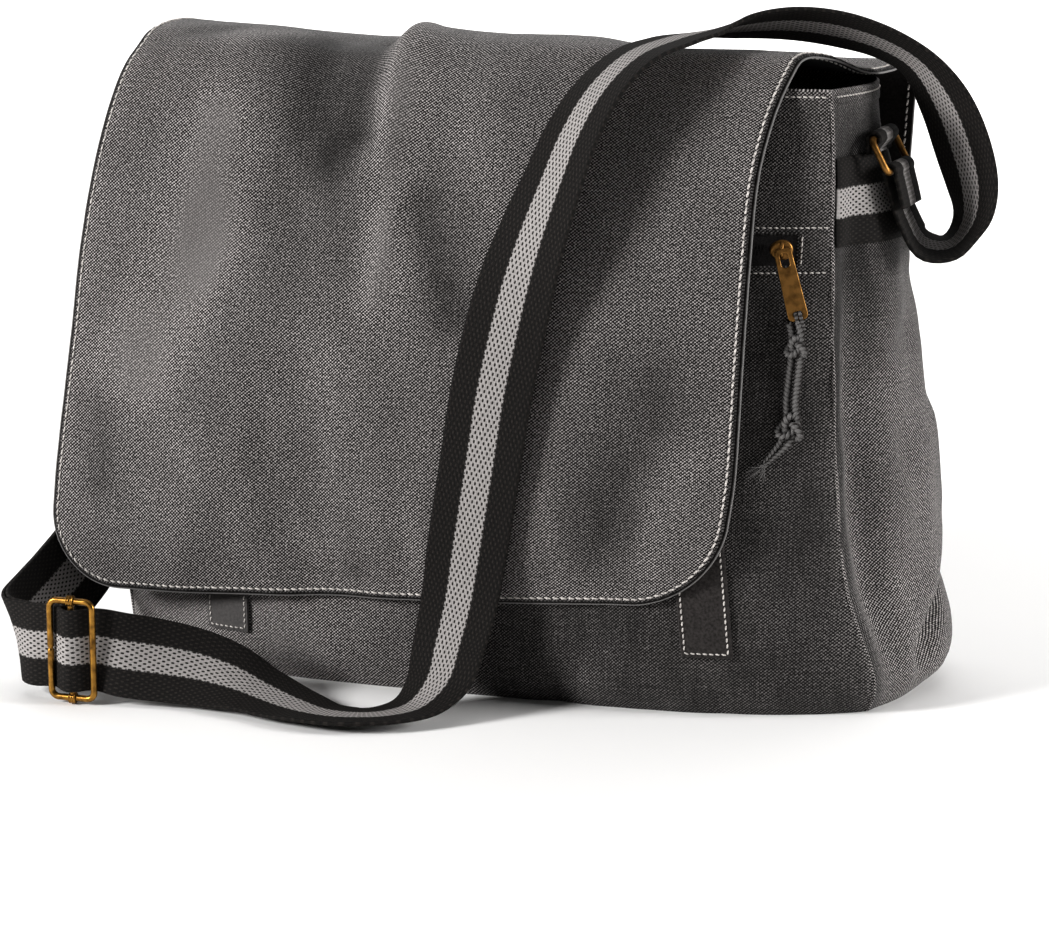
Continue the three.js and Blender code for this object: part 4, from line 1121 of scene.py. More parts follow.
def fuzzy_material(name, rubbed_and_lit, tint, grain, depth, sheen):
    """Plain cloth, tape or cord with a grain and a depth in millimetres, mixed towards a pale colour by
    wear and by painted light.
    """
    made, tree, surface = new_material(name)
    place = add_node(tree, "TexCoord", None, "Object")
    fuzz = add_node(tree, "TexNoise", {"Vector": place, "Scale": 1 / (grain * MM), "Detail": 4.0})
    flecks = add_node(tree, "MapRange", {"Value": fuzz, "From Min": 0.3, "From Max": 0.7})
    base = add_node(tree, "Mix", {0: flecks, 6: shade(tint, 0.5), 7: shade(tint, 1.5)}, 2, data_type="RGBA")
    worn = add_node(tree, "Attribute", None, "Fac", attribute_name="worn")
    set_inputs(tree, surface, {
        "Base Color": add_node(tree, "Mix", {0: worn, 6: base, 7: rubbed_and_lit}, 2, data_type="RGBA"),
        "Normal": add_node(tree, "Bump", {"Height": fuzz, "Strength": 0.6, "Distance": depth * MM}),
        "Roughness": 0.95,
        "Specular IOR Level": 0.08,
        "Sheen Weight": sheen,
    })
    return made


def metal_material(name, bright, tarnish, roughness):
    """Aged metal: bright where it is handled, darker and duller in soft spots."""
    made, tree, surface = new_material(name)
    place = add_node(tree, "TexCoord", None, "Object")
    spots = add_node(tree, "TexNoise", {"Vector": place, "Scale": 1 / (TARNISH_SPOT * MM), "Detail": 5.0})
    dull = add_node(tree, "MapRange", {"Value": spots, "From Min": 0.4, "From Max": 0.75})
    set_inputs(tree, surface, {
        "Base Color": add_node(tree, "Mix", {0: dull, 6: bright, 7: tarnish}, 2, data_type="RGBA"),
        "Roughness": add_node(tree, "MapRange", {
            "Value": spots, "To Min": roughness - 0.08, "To Max": roughness + 0.2,
        }),
        "Metallic": 1.0,
    })
    return made


def material(context, name):
    """One of the bag's materials, made when it is first asked for."""
    if name in bpy.data.materials:
        return bpy.data.materials[name]
    sizes = sizes_in_mm(context)
    colours = context.scene.bag_colours
    if name == "Washed canvas":
        return canvas_material(sizes, colours)
    if name == "Striped webbing":
        return webbing_material(sizes, colours)
    if name == "Aged brass":
        return metal_material(name, colours.brass, colours.tarnish, 0.27)
    if name == "Aged bronze":
        return metal_material(name, colours.bronze, colours.tarnish, 0.4)
    # Colour, grain, depth and sheen. The fibres are too fine to show, so their grain is drawn coarse.
    plain = {
        # Close dark weave that stays black in the mouth of the bag
        "Cotton backing": (colours.lining, 1.11, 0.2, 0.05),
        # Matted loops with hardly any shine
        "Looped felt": (colours.felt, 1.25, 0.6, 0.1),
        # Tight woven tape and a smooth coil
        "Woven nylon": (colours.nylon, 0.625, 0.2, 0.0),
        # Dull cord, with a painted highlight on the crests of its plies
        "Twisted cotton cord": (colours.cord, 0.833, 0.3, 0.1),
        # Pale spun thread that stands out on the dark cloth
        "Cotton thread": (colours.thread, 0.667, 0.1, 0.0),
    }
    return fuzzy_material(name, colours.rubbed_and_lit, *plain[name])


# Operators


class BAG_OT_camera(bpy.types.Operator):
    """Set the camera where the photo was taken from"""

    bl_idname = "bag.camera"
    bl_label = "Camera"

    def execute(self, context):
        lens = bpy.data.cameras.new("camera")
        lens.lens = CAMERA_LENS
        lens.sensor_width = 36.0
        lens.clip_end = 100.0
        lens.dof.use_dof = False
        camera = bpy.data.objects.new("camera", lens)
        camera.location = CAMERA_PLACE
        camera.rotation_euler = Vector(CAMERA_AIM).to_track_quat("-Z", "Y").to_euler()
        context.scene.collection.objects.link(camera)
        context.scene.camera = camera
        return {"FINISHED"}


class BAG_OT_lanyard(bpy.types.Operator):
    """Build the knotted cord on the zip pull"""

    bl_idname = "bag.lanyard"
    bl_label = "Lanyard"

    def execute(self, context):
        route = np.array(LANYARD_ROUTE, float)
        knots = front_point(route[:, 0], route[:, 1], LANYARD_THICKNESS / 2 + LANYARD_LIFT)
        path = catmull_rom(knots, np.linspace(0, len(knots) - 1, 160), 0.5)
        heading = unit(np.gradient(path, axis=0))
        grey = material(context, "Twisted cotton cord")
        loop = add_piece("lanyard_loop", self.loop(), grey, (), 80)
        strands = self.strands(path, heading)
        cord = add_piece("lanyard_cord", strands, grey, ["pull_lanyard"], 80)
        tied = add_piece("lanyard_knots", self.knots(path, heading), grey, (), 80)
        tuft = self.fray(path[-1], heading[-1])
        fray = add_piece("lanyard_fray", tuft, grey, (), 80)
        return {"FINISHED"}

    def loop(self):
        """Two strands that pass through the slot of the pull, uneven as twisted cord is, with a painted
        highlight on each swell.
        """
        side = pull_point((1, 0, 0)) - pull_point((0, 0, 0))
        parts = []
        for strand in (-1, 1):
            knots = pull_point(np.array(LANYARD_LOOP) + (strand, -PULL_LENGTH, PULL_RISE))
            path = catmull_rom(knots, np.linspace(0, len(knots) - 1, 80), 0.5)
            ply = np.sin(arc_length(path) * 2 * np.pi / LOOP_TWIST + strand)
            made = tube(path, LOOP_RADIUS + 0.09 * ply, side, 9)
            # Paler all along, and a painted highlight on each swell
            parts.append(made._replace(worn=np.repeat(0.22 + 0.22 * ply, 9)))
        return parts

    def strands(self, path, heading):
        """Two twisted strands side by side, drawn together and thinner over the last quarter."""
        lengths = arc_length(path)
        across = unit(np.cross(heading, TO_FRONT))
        out = np.cross(across, heading)
        tail = ramp(lengths / lengths[-1], 0.75, 0.25)
        spread = STRAND_SPREAD * (1 - 0.7 * tail)
        radius = PLY_RADIUS * (1 - 0.5 * tail)
        parts = []
        for strand in (-1, 1):
            beside = path + strand * spread[:, None] * across
            turn = strand * lengths * 2 * np.pi / STRAND_TWIST
            parts += self.plait(beside, across, out, turn, radius)
        return parts

    def knots(self, path, heading):
        """Trefoil knots in the same cord, each turned to the front."""
        lengths = arc_length(path)
        t = np.linspace(0, 2 * np.pi, 180, endpoint=False)
        parts = []
        for share, reach in LANYARD_KNOTS:
            centre = along_path(path, path, [share * lengths[-1]])[0]
            axis = along_path(path, heading, [share * lengths[-1]])[0]
            side = unit(np.cross(axis, TO_FRONT))
            bend = centre + TO_FRONT * KNOT_LIFT + reach * (
                side * (np.sin(t) + 2 * np.sin(2 * t))[:, None]
                + axis * (np.cos(t) - 2 * np.cos(2 * t))[:, None]
                - TO_FRONT * np.sin(3 * t)[:, None]
            )
            ahead = unit(np.roll(bend, -1, axis=0) - np.roll(bend, 1, axis=0))
            wide = unit(np.cross(ahead, TO_FRONT))
            high = np.cross(wide, ahead)
            parts += self.plait(bend, wide, high, KNOT_TWISTS * t, PLY_RADIUS, closed=True)
        return parts

    def plait(self, path, across, out, angle, radius, closed=False):
        """Three plies twisted round a path, with a painted highlight where they face the front."""
        radius = np.broadcast_to(radius, len(path))
        parts = []
        for ply in range(3):
            turn = angle + ply * 2 * np.pi / 3
            swing = across * np.cos(turn)[:, None] + out * np.sin(turn)[:, None]
            made = tube(path + radius[:, None] * swing, radius, TO_FRONT, 8, closed)
            # Painted highlight where the ply faces the front
            facing_highlight = np.clip(np.sin(turn) - 0.45, 0, 1)
            parts.append(made._replace(worn=np.repeat(facing_highlight, 8)))
        return parts

    def fray(self, end, heading):
        """Loose fibres at the end of the cord, kept in front of the panel."""
        rng = np.random.default_rng(11)
        t = np.linspace(0, 1, 7)[:, None]
        parts = []
        for _ in range(FRAY_FIBRES):
            lean = rng.normal(0, 0.3, 3)
            run = unit(heading + lean) * rng.uniform(4, 9)
            bend = rng.normal(0, 1.1, 3)
            fibre = end + rng.normal(0, 0.7, 3) + run * t + bend * t**2
            fibre[:, 1] = np.minimum(fibre[:, 1], front_face(fibre[:, 0], fibre[:, 2]) - 0.6)
            made = tube(fibre, np.linspace(0.3, 0.12, 7), TO_FRONT, 5)
            parts.append(made._replace(worn=np.full(len(made.points), 0.45)))
        return parts


class BAG_OT_body(bpy.types.Operator):
    """Build the canvas panels, their seams and their stitches"""

    bl_idname = "bag.body"
    bl_label = "Canvas body"

    def execute(self, context):
        sizes = sizes_in_mm(context)
        canvas = material(context, "Washed canvas")
        fine = (sizes["fine_pitch"], sizes["fine_stitch"], sizes["fine_thread"])
        z = body_rows()
        panels = {
            "front_panel": self.front(z),
            "gusset_right": self.gusset(z, 1),
            "gusset_left": self.gusset(z, -1),
            "back_panel": self.back(z),
        }
        for name, (outer, uv, keep, worn) in panels.items():
            inner = outer - grid_normals(outer) * sizes["cloth"]
            add_piece(name, [sheet_part(outer, inner, uv, keep, worn)], canvas, [name])
        self.base(canvas, sizes["cloth"])
        self.ridges(canvas)
        threads = [self.gusset_stitches(1, fine), self.gusset_stitches(-1, fine)]
        threads += self.front_stitches(fine)
        add_piece("body_stitches", threads, material(context, "Cotton thread"), (), 80)
        return {"FINISHED"}

    def front(self, z):
        """Front panel with the zip's window left open between its welts."""
        level = z[:, None]
        x, near = front_columns(z)
        outer = front_point(x, np.broadcast_to(level, x.shape))
        window = (z[:-1] >= ZIP_BOTTOM - 0.01) & (z[1:] <= ZIP_TOP + 0.01)
        columns = np.arange(x.shape[1] - 1)
        keep = ~(window[:, None] & (columns >= near) & (columns < near + WINDOW_COLUMNS - 1))
        from_window = np.abs(level - ZIP_MIDDLE) - ZIP_HALF
        calm = np.minimum(from_window - 4.4, MOUTH_HEIGHT - level - 6)
        welt = WELT_RISE * bell(from_window - 1, 1.6) - STITCH_DIP * bell(from_window - ZIP_STITCH, 0.8)
        lift = hem_lift(level) + welt + ripples(FRONT_RIPPLES, x, level) * ramp(calm, 0, 15)
        seam = np.minimum(x - x[:, :1], x[:, -1:] - x)
        outer = outer + grid_normals(outer) * (lift * ramp(seam, 0, 3))[..., None]
        # Seam and hem wear, painted light on the left of the panel going over to painted shade on its
        # right, and painted light above the zip
        worn = (
            SEAM_WEAR * np.exp(-seam / 2.5)
            + HEM_WEAR * np.exp((level - MOUTH_HEIGHT) / 2)
            + mix(FRONT_LEFT_PAINTED_LIGHT, FRONT_RIGHT_PAINTED_SHADE, ramp(x, -100, 110))
            + POCKET_TOP_PAINTED_LIGHT * ramp(level, ZIP_TOP, 20)
        )
        return outer, joined(x, level), keep, worn

    def gusset(self, z, side):
        """Side panel with its wrinkles, hem wear, painted shade to the rear, in its hollow, under the band
        and at the top, and painted light at the foot.
        """
        level = z[:, None]
        t = np.linspace(0, 1, 64)[None, ::side]
        outer = gusset_point(t, level, side)
        y = outer[..., 1]
        lift = ripples(GUSSET_RIPPLES, y, level) * ramp(level, MOUTH_HEIGHT - 6, -15)
        lift = lift - crease_depth(GUSSET_WRINKLES, y, level) + hem_lift(level)
        lift = lift * np.clip(np.sin(np.pi * t) * 6, 0, 1)
        outer = outer + grid_normals(outer) * lift[..., None]
        from_band = np.hypot((t - 0.15) * 1.7, (level - BAND_BOTTOM) / 75)
        # Hem wear, then painted shade and painted light
        worn = (
            HEM_WEAR * np.exp((level - MOUTH_HEIGHT) / 2)
            + GUSSET_REAR_PAINTED_SHADE * ramp(t, 0.5, 0.4)
            + GUSSET_HOLLOW_PAINTED_SHADE * bell(t, TUCK_WIDTH) * ramp(level, BAND_BOTTOM + 10, -30)
            + GUSSET_UNDER_BAND_PAINTED_SHADE * np.clip(1 - from_band, 0, 1)
            + GUSSET_TOP_PAINTED_SHADE * ramp(level, BAND_BOTTOM, 40)
            + GUSSET_FOOT_PAINTED_LIGHT * ramp(level, 110, -60)
        )
        return outer, joined(row_length(outer), level), None, worn

    def back(self, z):
        """Plain back panel with soft ripples."""
        level = z[:, None]
        s = np.linspace(-1, 1, 120)[None]
        outer = back_point(s, level)
        lift = ripples(BACK_RIPPLES, outer[..., 0], level) + hem_lift(level)
        lift = lift * np.clip((1 - np.abs(s)) * 12, 0, 1)
        outer = outer + grid_normals(outer) * lift[..., None]
        return outer, outer[..., ::2], None, None

    def base(self, canvas, cloth):
        """Flat base between the feet of the walls."""
        section = body_at(np.array(0.0))
        s = np.linspace(-1, 1, 60)
        inset = cloth + SEAM
        x = mix(section["front_left"], section["front_right"], (s + 1) / 2)
        front_y = front_face(x, np.zeros_like(x)) + inset
        back_y = section["back_y"] + section["back_belly"] * (1 - np.abs(s) ** BELLY_POWER) - inset
        t = np.linspace(0, 1, 30)[:, None]
        y = mix(front_y, back_y, t)
        left = gusset_point(t, np.zeros_like(t), -1)[..., 0] + inset
        right = gusset_point(t, np.zeros_like(t), 1)[..., 0] - inset
        x = mix(left, right, (s + 1) / 2)
        top = joined(x, y, cloth)
        low = top - cloth * UP
        add_piece("base_panel", [sheet_part(top, low, top[..., :2])], canvas, ["base_panel"])

    def ridges(self, canvas):
        """Turned edges that stand a little proud along the upright seams."""
        z = np.linspace(1.4, MOUTH_HEIGHT - 0.5, 140)
        section = body_at(z)
        parts = []
        for x_name, y_name, corner in (
            ("front_right", "front_y", (1, -1, 0)),
            ("front_left", "front_y", (-1, -1, 0)),
            ("back_right", "back_y", (1, 1, 0)),
            ("back_left", "back_y", (-1, 1, 0)),
        ):
            path = joined(section[x_name], section[y_name], z)
            wave = 0.35 * soft_noise(z, 0, 9, corner[0] * 2.3 + corner[1])
            wave = wave + 0.6 * soft_noise(z, 0, 24, corner[0] + 5.2)
            path = path + np.array(corner) * (wave - 0.2)[:, None]
            made = tube(path, RIDGE_RADIUS, np.array(corner, float), 10)
            # Paler from wear, with a painted highlight along the ridge
            parts.append(made._replace(worn=np.full(len(made.points), RIDGE_WEAR_AND_HIGHLIGHT)))
        add_piece("seam_ridges", parts, canvas, (), 80)

    def gusset_stitches(self, side, fine):
        """Stitches under the mouth hem of a gusset."""
        path = gusset_point(np.linspace(0.03, 0.97, 120), np.full(120, MOUTH_HEIGHT - HEM_STITCH), side)
        heading = np.gradient(path, axis=0)
        out = side * unit(joined(heading[:, 1], -heading[:, 0], 0))
        return stitch_row(path + 0.6 * out, out, *fine)

    def front_stitches(self, fine):
        """Stitches along the zip, at its end and under the mouth hem."""
        middle = body_at(np.array(ZIP_MIDDLE))
        beside = np.linspace(middle["front_left"] + 3, middle["front_right"] - 2, 300)
        end = np.linspace(ZIP_BOTTOM + 1, ZIP_TOP - 1, 30)
        under_hem = np.full(300, MOUTH_HEIGHT - HEM_STITCH)
        hem = body_at(under_hem[0])
        runs = (
            (beside, np.full(300, ZIP_BOTTOM - ZIP_STITCH), 0.15),
            (beside, np.full(300, ZIP_TOP + ZIP_STITCH), 0.15),
            (np.full(30, ZIP_RIGHT + 1.8), end, 0.3),
            (np.linspace(hem["front_left"] + 2, hem["front_right"] - 2, 300), under_hem, 0.6),
        )
        return [
            stitch_row(front_point(x, z, proud), np.tile(TO_FRONT, (len(x), 1)), *fine)
            for x, z, proud in runs
        ]


class BAG_OT_flap(bpy.types.Operator):
    """Build the flap, its backing and its stitches"""

    bl_idname = "bag.flap"
    bl_label = "Flap"

    def execute(self, context):
        sizes = sizes_in_mm(context)
        canvas = material(context, "Washed canvas")
        lip = sizes["lining_lip"]
        thick = sizes["flap_canvas"]
        total = thick + sizes["flap_lining"] + LINING_GAP
        x, along = self.grid(lip)
        distance = flap_edge_distance(x, along) - lip
        groove = 0.5 * bell(distance - FLAP_STITCH, 0.9) + 0.35 * bell(distance, 0.5)
        pucker = 0.25 * np.exp(-distance / 7) * np.sin((x + along) * 2 * np.pi / 11)
        outer, normal = flap_surface(x, along, groove + pucker)
        inner = outer - normal * thick
        worn = FLAP_RIM_WEAR * bell(distance, 0.6) + FLAP_STITCH_WEAR * bell(distance - 4, 3)
        # Painted light and shade along the folds, the top and beside the strap, and washed streaks near the
        # hem
        worn = worn + crease_depth(WASH_AND_SHADE_MARKS, x, along)
        cloth = sheet_part(outer, inner, joined(x, along), None, worn)
        flap = add_piece("flap", [cloth], canvas, ["flap"])
        x, along = self.grid(0.0)
        top, normal = flap_surface(x, along, thick + LINING_GAP)
        # Paler edge of the backing: wear of its threads, and a painted highlight
        rubbed_and_lit = LINING_EDGE_WEAR_AND_HIGHLIGHT * bell(flap_edge_distance(x, along), 0.3)
        under = sheet_part(top, top - normal * sizes["flap_lining"], joined(x, along), None, rubbed_and_lit)
        lining = add_piece("flap_lining", [under], material(context, "Cotton backing"), ())
        rows = self.stitches(sizes, lip, total)
        thread = add_piece("flap_stitches", rows, material(context, "Cotton thread"), (), 80)
        return {"FINISHED"}

    def grid(self, inset):
        """x and length from the hem over the flap, with close rows and columns at its edges."""
        close = np.array([0, 0.3, 0.7, 1.2, 1.8, 2.5, 3.4, 4.6, 6.2, 8.4, 11.5])
        hem = inset + np.concatenate([close, [14.5, 18, 22, 26, 30, 34]])
        rest = np.linspace(inset + 38, FLAP_LENGTH, 150)
        along = np.concatenate([hem, rest])[:, None]
        left, right = flap_edges(along, inset)
        middle = mix(left + close[-1], right - close[-1], np.linspace(0, 1, 118)[None, 1:-1])
        x = np.hstack([left + close, middle, right - close[::-1]])
        return np.broadcast_arrays(x, along)

    def stitches(self, sizes, lip, total):
        """Heavy stitches all round on both faces, and a row on the seam at the back."""
        inset = lip + FLAP_STITCH
        upright = np.linspace(FLAP_LENGTH - 1, CORNER_RIGHT + 1, 420)
        left, right = flap_edges(upright, inset)
        turn = np.linspace(0, np.pi / 2, 40)
        first = CORNER_LEFT - (CORNER_LEFT - inset) * np.sin(turn)
        last = CORNER_RIGHT - (CORNER_RIGHT - inset) * np.cos(turn)
        corner_left = flap_edges(first, inset)[0]
        corner_right = flap_edges(last, inset)[1]
        hem = np.linspace(corner_left[-1], corner_right[0], 300)[1:-1]
        x = np.concatenate([left, corner_left, hem, corner_right, right[::-1]])
        along = np.concatenate([upright, first, np.full(len(hem), inset), last, upright[::-1]])
        heavy = (sizes["stitch_pitch"], sizes["stitch"], sizes["thread"])
        path, normal = flap_surface(x, along, 0.1)
        below = path - normal * (total - 0.1)
        rows = [stitch_row(path, normal, *heavy), stitch_row(below, -normal, *heavy)]
        seam_left, seam_right = flap_edges(np.array(FLAP_LENGTH), BACK_STITCH)
        seam = np.linspace(seam_left, seam_right, 300)
        path, normal = flap_surface(seam, np.full(300, FLAP_LENGTH - BACK_STITCH), -0.15)
        rows.append(stitch_row(path, normal, *heavy))
        return rows


class BAG_OT_webbing(bpy.types.Operator):
    """Build the shoulder strap, the side bands and the ring tabs"""

    bl_idname = "bag.webbing"
    bl_label = "Webbing"

    def execute(self, context):
        sizes = sizes_in_mm(context)
        cloth = material(context, "Striped webbing")
        add_piece("shoulder_strap", [self.strap(sizes)], cloth, ["shoulder_strap"])
        for name, ring in RINGS.items():
            band = self.band(ring["side"], sizes)
            add_piece(f"side_band_{name}", [band], cloth, [f"side_band_{name}"])
            tab = self.tab(ring, sizes)
            add_piece(f"ring_tab_{name}", [tab], cloth, [f"ring_tab_{name}"])
        return {"FINISHED"}

    def strap(self, sizes):
        """One length of webbing from the right ring, through the slider, to the left ring and back."""
        weave = sizes["wire"] + sizes["webbing"] / 2 + WEAVE_ROOM
        bar = SLIDER_WIDTH / 2 + sizes["wire"]
        through = []
        for step, depth in ((1, weave), (0, -weave), (-1, weave)):
            x, y, z = SLIDER_PLACE + (step * bar, depth, 0)
            through.append((x, y, z, -88, -88))
        knots, across = stations(STRAP_ROUTE + tuple(through) + BEHIND_SLIDER)
        first = len(STRAP_ROUTE)
        places = [np.zeros(1)]
        for i, span in enumerate(np.linalg.norm(np.diff(knots, axis=0), axis=1)):
            step = SLIDER_STEP if first - 1 <= i < first + 2 else STRAP_STEP
            places.append(i + np.arange(1, math.ceil(span / step) + 1) / math.ceil(span / step))
        places = np.concatenate(places)
        middle = catmull_rom(knots, places, 0.5)
        heading = unit(np.gradient(middle, axis=0))
        wide = catmull_rom(across, places, 0.0)
        wide = unit(wide - heading * np.sum(wide * heading, axis=1, keepdims=True))
        normal = unit(np.cross(np.gradient(middle, axis=0), wide))
        back = places >= first + 2
        layer = middle - normal * (sizes["webbing"] + SEAM)
        tail, tail_across = stations(STRAP_TAIL)
        right = turn_on_rod(RINGS["right"]["low"], -WRAP, math.pi + WRAP, sizes)
        left = turn_on_rod(RINGS["left"]["low"], math.pi + WRAP, -WRAP, sizes)
        sewn = SLIDER_PLACE + (0, weave, 0)
        points = np.vstack([tail, right, middle, left, layer[back][::-1], sewn])
        directions = np.vstack([
            tail_across,
            np.tile(tail_across[0], (len(right), 1)),
            wide,
            np.tile(TO_BACK, (len(left), 1)),
            wide[back][::-1],
            across[first + 1],
        ])
        return webbing_part(points, directions, sizes["webbing_width"], sizes["webbing"])

    def band(self, side, sizes):
        """Webbing sewn flat across a gusset."""
        z = np.linspace(BAND_BOTTOM, BAND_TOP, 15)[:, None]
        t = np.linspace(0.012, 0.985, 50)[None, ::side]
        inner = gusset_point(t, z, side) + side * BAND_GAP * TO_RIGHT
        edge = 1 - 0.5 * np.exp(-np.minimum(z - BAND_BOTTOM, BAND_TOP - z) / 0.8)
        outer = inner + edge[..., None] * side * sizes["webbing"] * TO_RIGHT
        across = z - (BAND_BOTTOM + BAND_TOP) / 2
        return sheet_part(outer, inner, joined(across, row_length(outer)))

    def tab(self, ring, sizes):
        """Webbing folded over a ring's upper rod, with both ends running down to the band."""
        side = ring["side"]
        lift = TOUCH + sizes["webbing"] / 2
        foot = BAND_TOP + TOUCH
        edges = RING_Y + np.linspace(-0.5, 0.5, 5) * sizes["webbing_width"]

        def level(layer, z):
            """Middle of one layer of the tab at a height."""
            section = body_at(np.array(z))
            t = (edges - section["front_y"]) / (section["back_y"] - section["front_y"])
            face = side * np.max(side * gusset_point(t, np.full(5, z), side)[:, 0])
            return face + side * (lift + layer * (sizes["webbing"] + TOUCH)), RING_Y, z

        first, last = math.pi + WRAP, -WRAP
        if side < 0:
            first, last = last, first
        fold = turn_on_rod(ring["top"], first, last, sizes)
        points = np.vstack([level(0, foot), level(0, foot + 2), fold, level(1, foot + 2), level(1, foot)])
        across = np.tile(TO_BACK, (len(points), 1))
        return webbing_part(points, across, sizes["webbing_width"], sizes["webbing"])


class BAG_OT_wires(bpy.types.Operator):
    """Build the strap rings and the strap slider"""

    bl_idname = "bag.wires"
    bl_label = "Rings and slider"

    def execute(self, context):
        sizes = sizes_in_mm(context)
        brass = material(context, "Aged brass")
        bronze = material(context, "Aged bronze")
        wire = sizes["wire"]
        for name, ring in RINGS.items():
            run = np.array(ring["low"], float) - ring["top"]
            drop = np.hypot(*run)
            loop = self.wire_loop(RING_LENGTH, drop - 2 * wire, RING_CORNER, wire)
            down = np.array((run[0], 0, run[1])) / drop
            middle = (np.array(ring["low"]) + ring["top"]) / 2
            axes = (TO_BACK, down, np.cross(TO_BACK, down))
            made = placed(loop, axes, (middle[0], RING_Y, middle[1]))
            add_piece(f"strap_ring_{name}", [made], bronze, [f"strap_ring_{name}"], 80)
        axes = (TO_RIGHT, UP, TO_FRONT)
        loop = self.wire_loop(SLIDER_WIDTH, SLIDER_HEIGHT, SLIDER_CORNER, wire, weld=True)
        made = placed(loop, axes, SLIDER_PLACE)
        add_piece("slider_frame", [made], brass, ["slider_frame"], 80)
        parts = [placed(part, axes, SLIDER_PLACE) for part in self.middle_bar(wire)]
        add_piece("slider_bar", parts, brass, ["slider_bar"], 60)
        return {"FINISHED"}

    def wire_loop(self, width, height, corner, wire, weld=False):
        """Closed wire along a rounded rectangle, pinched at its weld on the left side."""
        outline = rounded_rectangle(width + 2 * wire, height + 2 * wire, corner + wire, 8)
        outline = closed_spacing(outline, 0.5)
        path = np.hstack([outline, np.zeros((len(outline), 1))])
        radius = np.full(len(path), wire)
        if weld:
            left = path[:, 0] < 0
            radius = radius - 0.3 * wire * bell(path[:, 1], 0.5) * left
        return tube(path, radius, UP, 20, closed=True)

    def middle_bar(self, wire):
        """Loose bar with a ridged collar round each short side of the slider."""
        bore = wire + TOUCH
        end = SLIDER_HEIGHT / 2 + wire
        y = np.linspace(-end + bore, end - bore, 12)
        parts = [tube(joined(0, y, 0), wire, UP, 16)]
        half = COLLAR_WIDTH / 2
        x = np.linspace(-half, half, 25)
        ridge = bore + 0.75 + 0.22 * np.cos(x / half * 3 * np.pi) - 0.35 * (np.abs(x / half) ** 8)
        section = np.vstack([joined(x, ridge), [(half, bore), (-half, bore)]])
        turn = np.linspace(0, 2 * np.pi, 28, endpoint=False)
        for side in (-1, 1):
            y = side * end + np.outer(np.cos(turn), section[:, 1])
            z = np.outer(np.sin(turn), section[:, 1])
            parts.append(loft(joined(section[:, 0], y, z), closed=True))
        return parts


class BAG_OT_zip(bpy.types.Operator):
    """Build the zip, its slider and the pull"""

    bl_idname = "bag.zip"
    bl_label = "Zip"

    def execute(self, context):
        sizes = sizes_in_mm(context)
        nylon = material(context, "Woven nylon")
        bronze = material(context, "Aged bronze")
        x = np.linspace(ZIP_LEFT + TOUCH, ZIP_RIGHT - TOUCH, 120)[None]
        z = np.linspace(ZIP_BOTTOM + TOUCH, ZIP_TOP - TOUCH, 12)[:, None]
        face = front_point(x, z, -TAPE_DEPTH)
        tape = sheet_part(face, face + (0, 1, 0), face[..., ::2])
        add_piece("zip_tape", [tape], nylon, ["zip_tape"])
        add_piece("zip_coil", [self.coil(sizes["tooth"])], nylon, ["zip_coil"], 80)
        self.fittings(bronze)
        return {"FINISHED"}

    def coil(self, pitch):
        """Two rows of rounded coil turns that mesh along the middle of the tape."""
        x = np.arange(ZIP_LEFT + 1, COIL_RIGHT, pitch / 2)
        offset = np.where(np.arange(len(x)) % 2, COIL_OFFSET, -COIL_OFFSET)
        centre = front_point(x, ZIP_MIDDLE + offset, -TAPE_DEPTH + TOUCH + COIL_RISE)
        spot = np.array([-1, -0.75, 0, 0.75, 1]) * COIL_HALF
        swell = np.array([0.35, 0.85, 1, 0.85, 0.35])
        turn = np.arange(8) / 8 * 2 * np.pi
        wide = np.outer(swell, np.cos(turn)) * pitch * 0.3
        high = np.outer(swell, np.sin(turn)) * 0.6
        return loft(centre[:, None, None] + joined(wide, high, spot[:, None]))

    def fittings(self, bronze):
        """Zip slider with its bail, and the pull that hangs on it."""
        angle = np.linspace(0, 2 * np.pi, 48, endpoint=False)
        half = SHIELD_WIDTH / 2 + SHIELD_TAPER * np.cos(angle)
        shield = joined(SHIELD_LENGTH / 2 * np.cos(angle), half * np.sin(angle))
        body = plate([shield], SHIELD_THICKNESS, SHIELD_BEVEL)
        body = body._replace(points=body.points + SHIELD_RISE * UP)
        angle = np.linspace(0, np.pi, 30)
        height = BAIL_FOOT + BAIL_RISE * np.sin(angle)
        arch = joined(0, BAIL_HALF * np.cos(angle), height)
        arch = np.vstack([arch[0] - BAIL_LEG * UP, arch, arch[-1] - BAIL_LEG * UP])
        bail = tube(arch, BAIL_WIRE, TO_RIGHT, 14)
        parts = [part._replace(points=fitting_point(part.points)) for part in (body, bail)]
        add_piece("zip_slider", parts, bronze, ["zip_slider"], 60)
        outline = rounded_rectangle(PULL_WIDTH, PULL_LENGTH, PULL_CORNER, 7) - (0, PULL_LENGTH / 2)
        head = np.clip(1 + outline[:, 1] / PULL_HEAD, 0, 1)
        outline[:, 0] *= 1 - PULL_NARROWING * head**1.5
        window = rounded_rectangle(*PULL_WINDOW[:3], 6) - (0, PULL_WINDOW[3])
        slot = rounded_rectangle(*PULL_SLOT[:3], 5) - (0, PULL_LENGTH - PULL_SLOT[3])
        pull = plate([outline, window, slot], PULL_THICKNESS, PULL_BEVEL)
        pull = pull._replace(points=pull_point(pull.points + PULL_RISE * UP))
        add_piece("zip_pull", [pull], bronze, ["zip_pull"], 40)


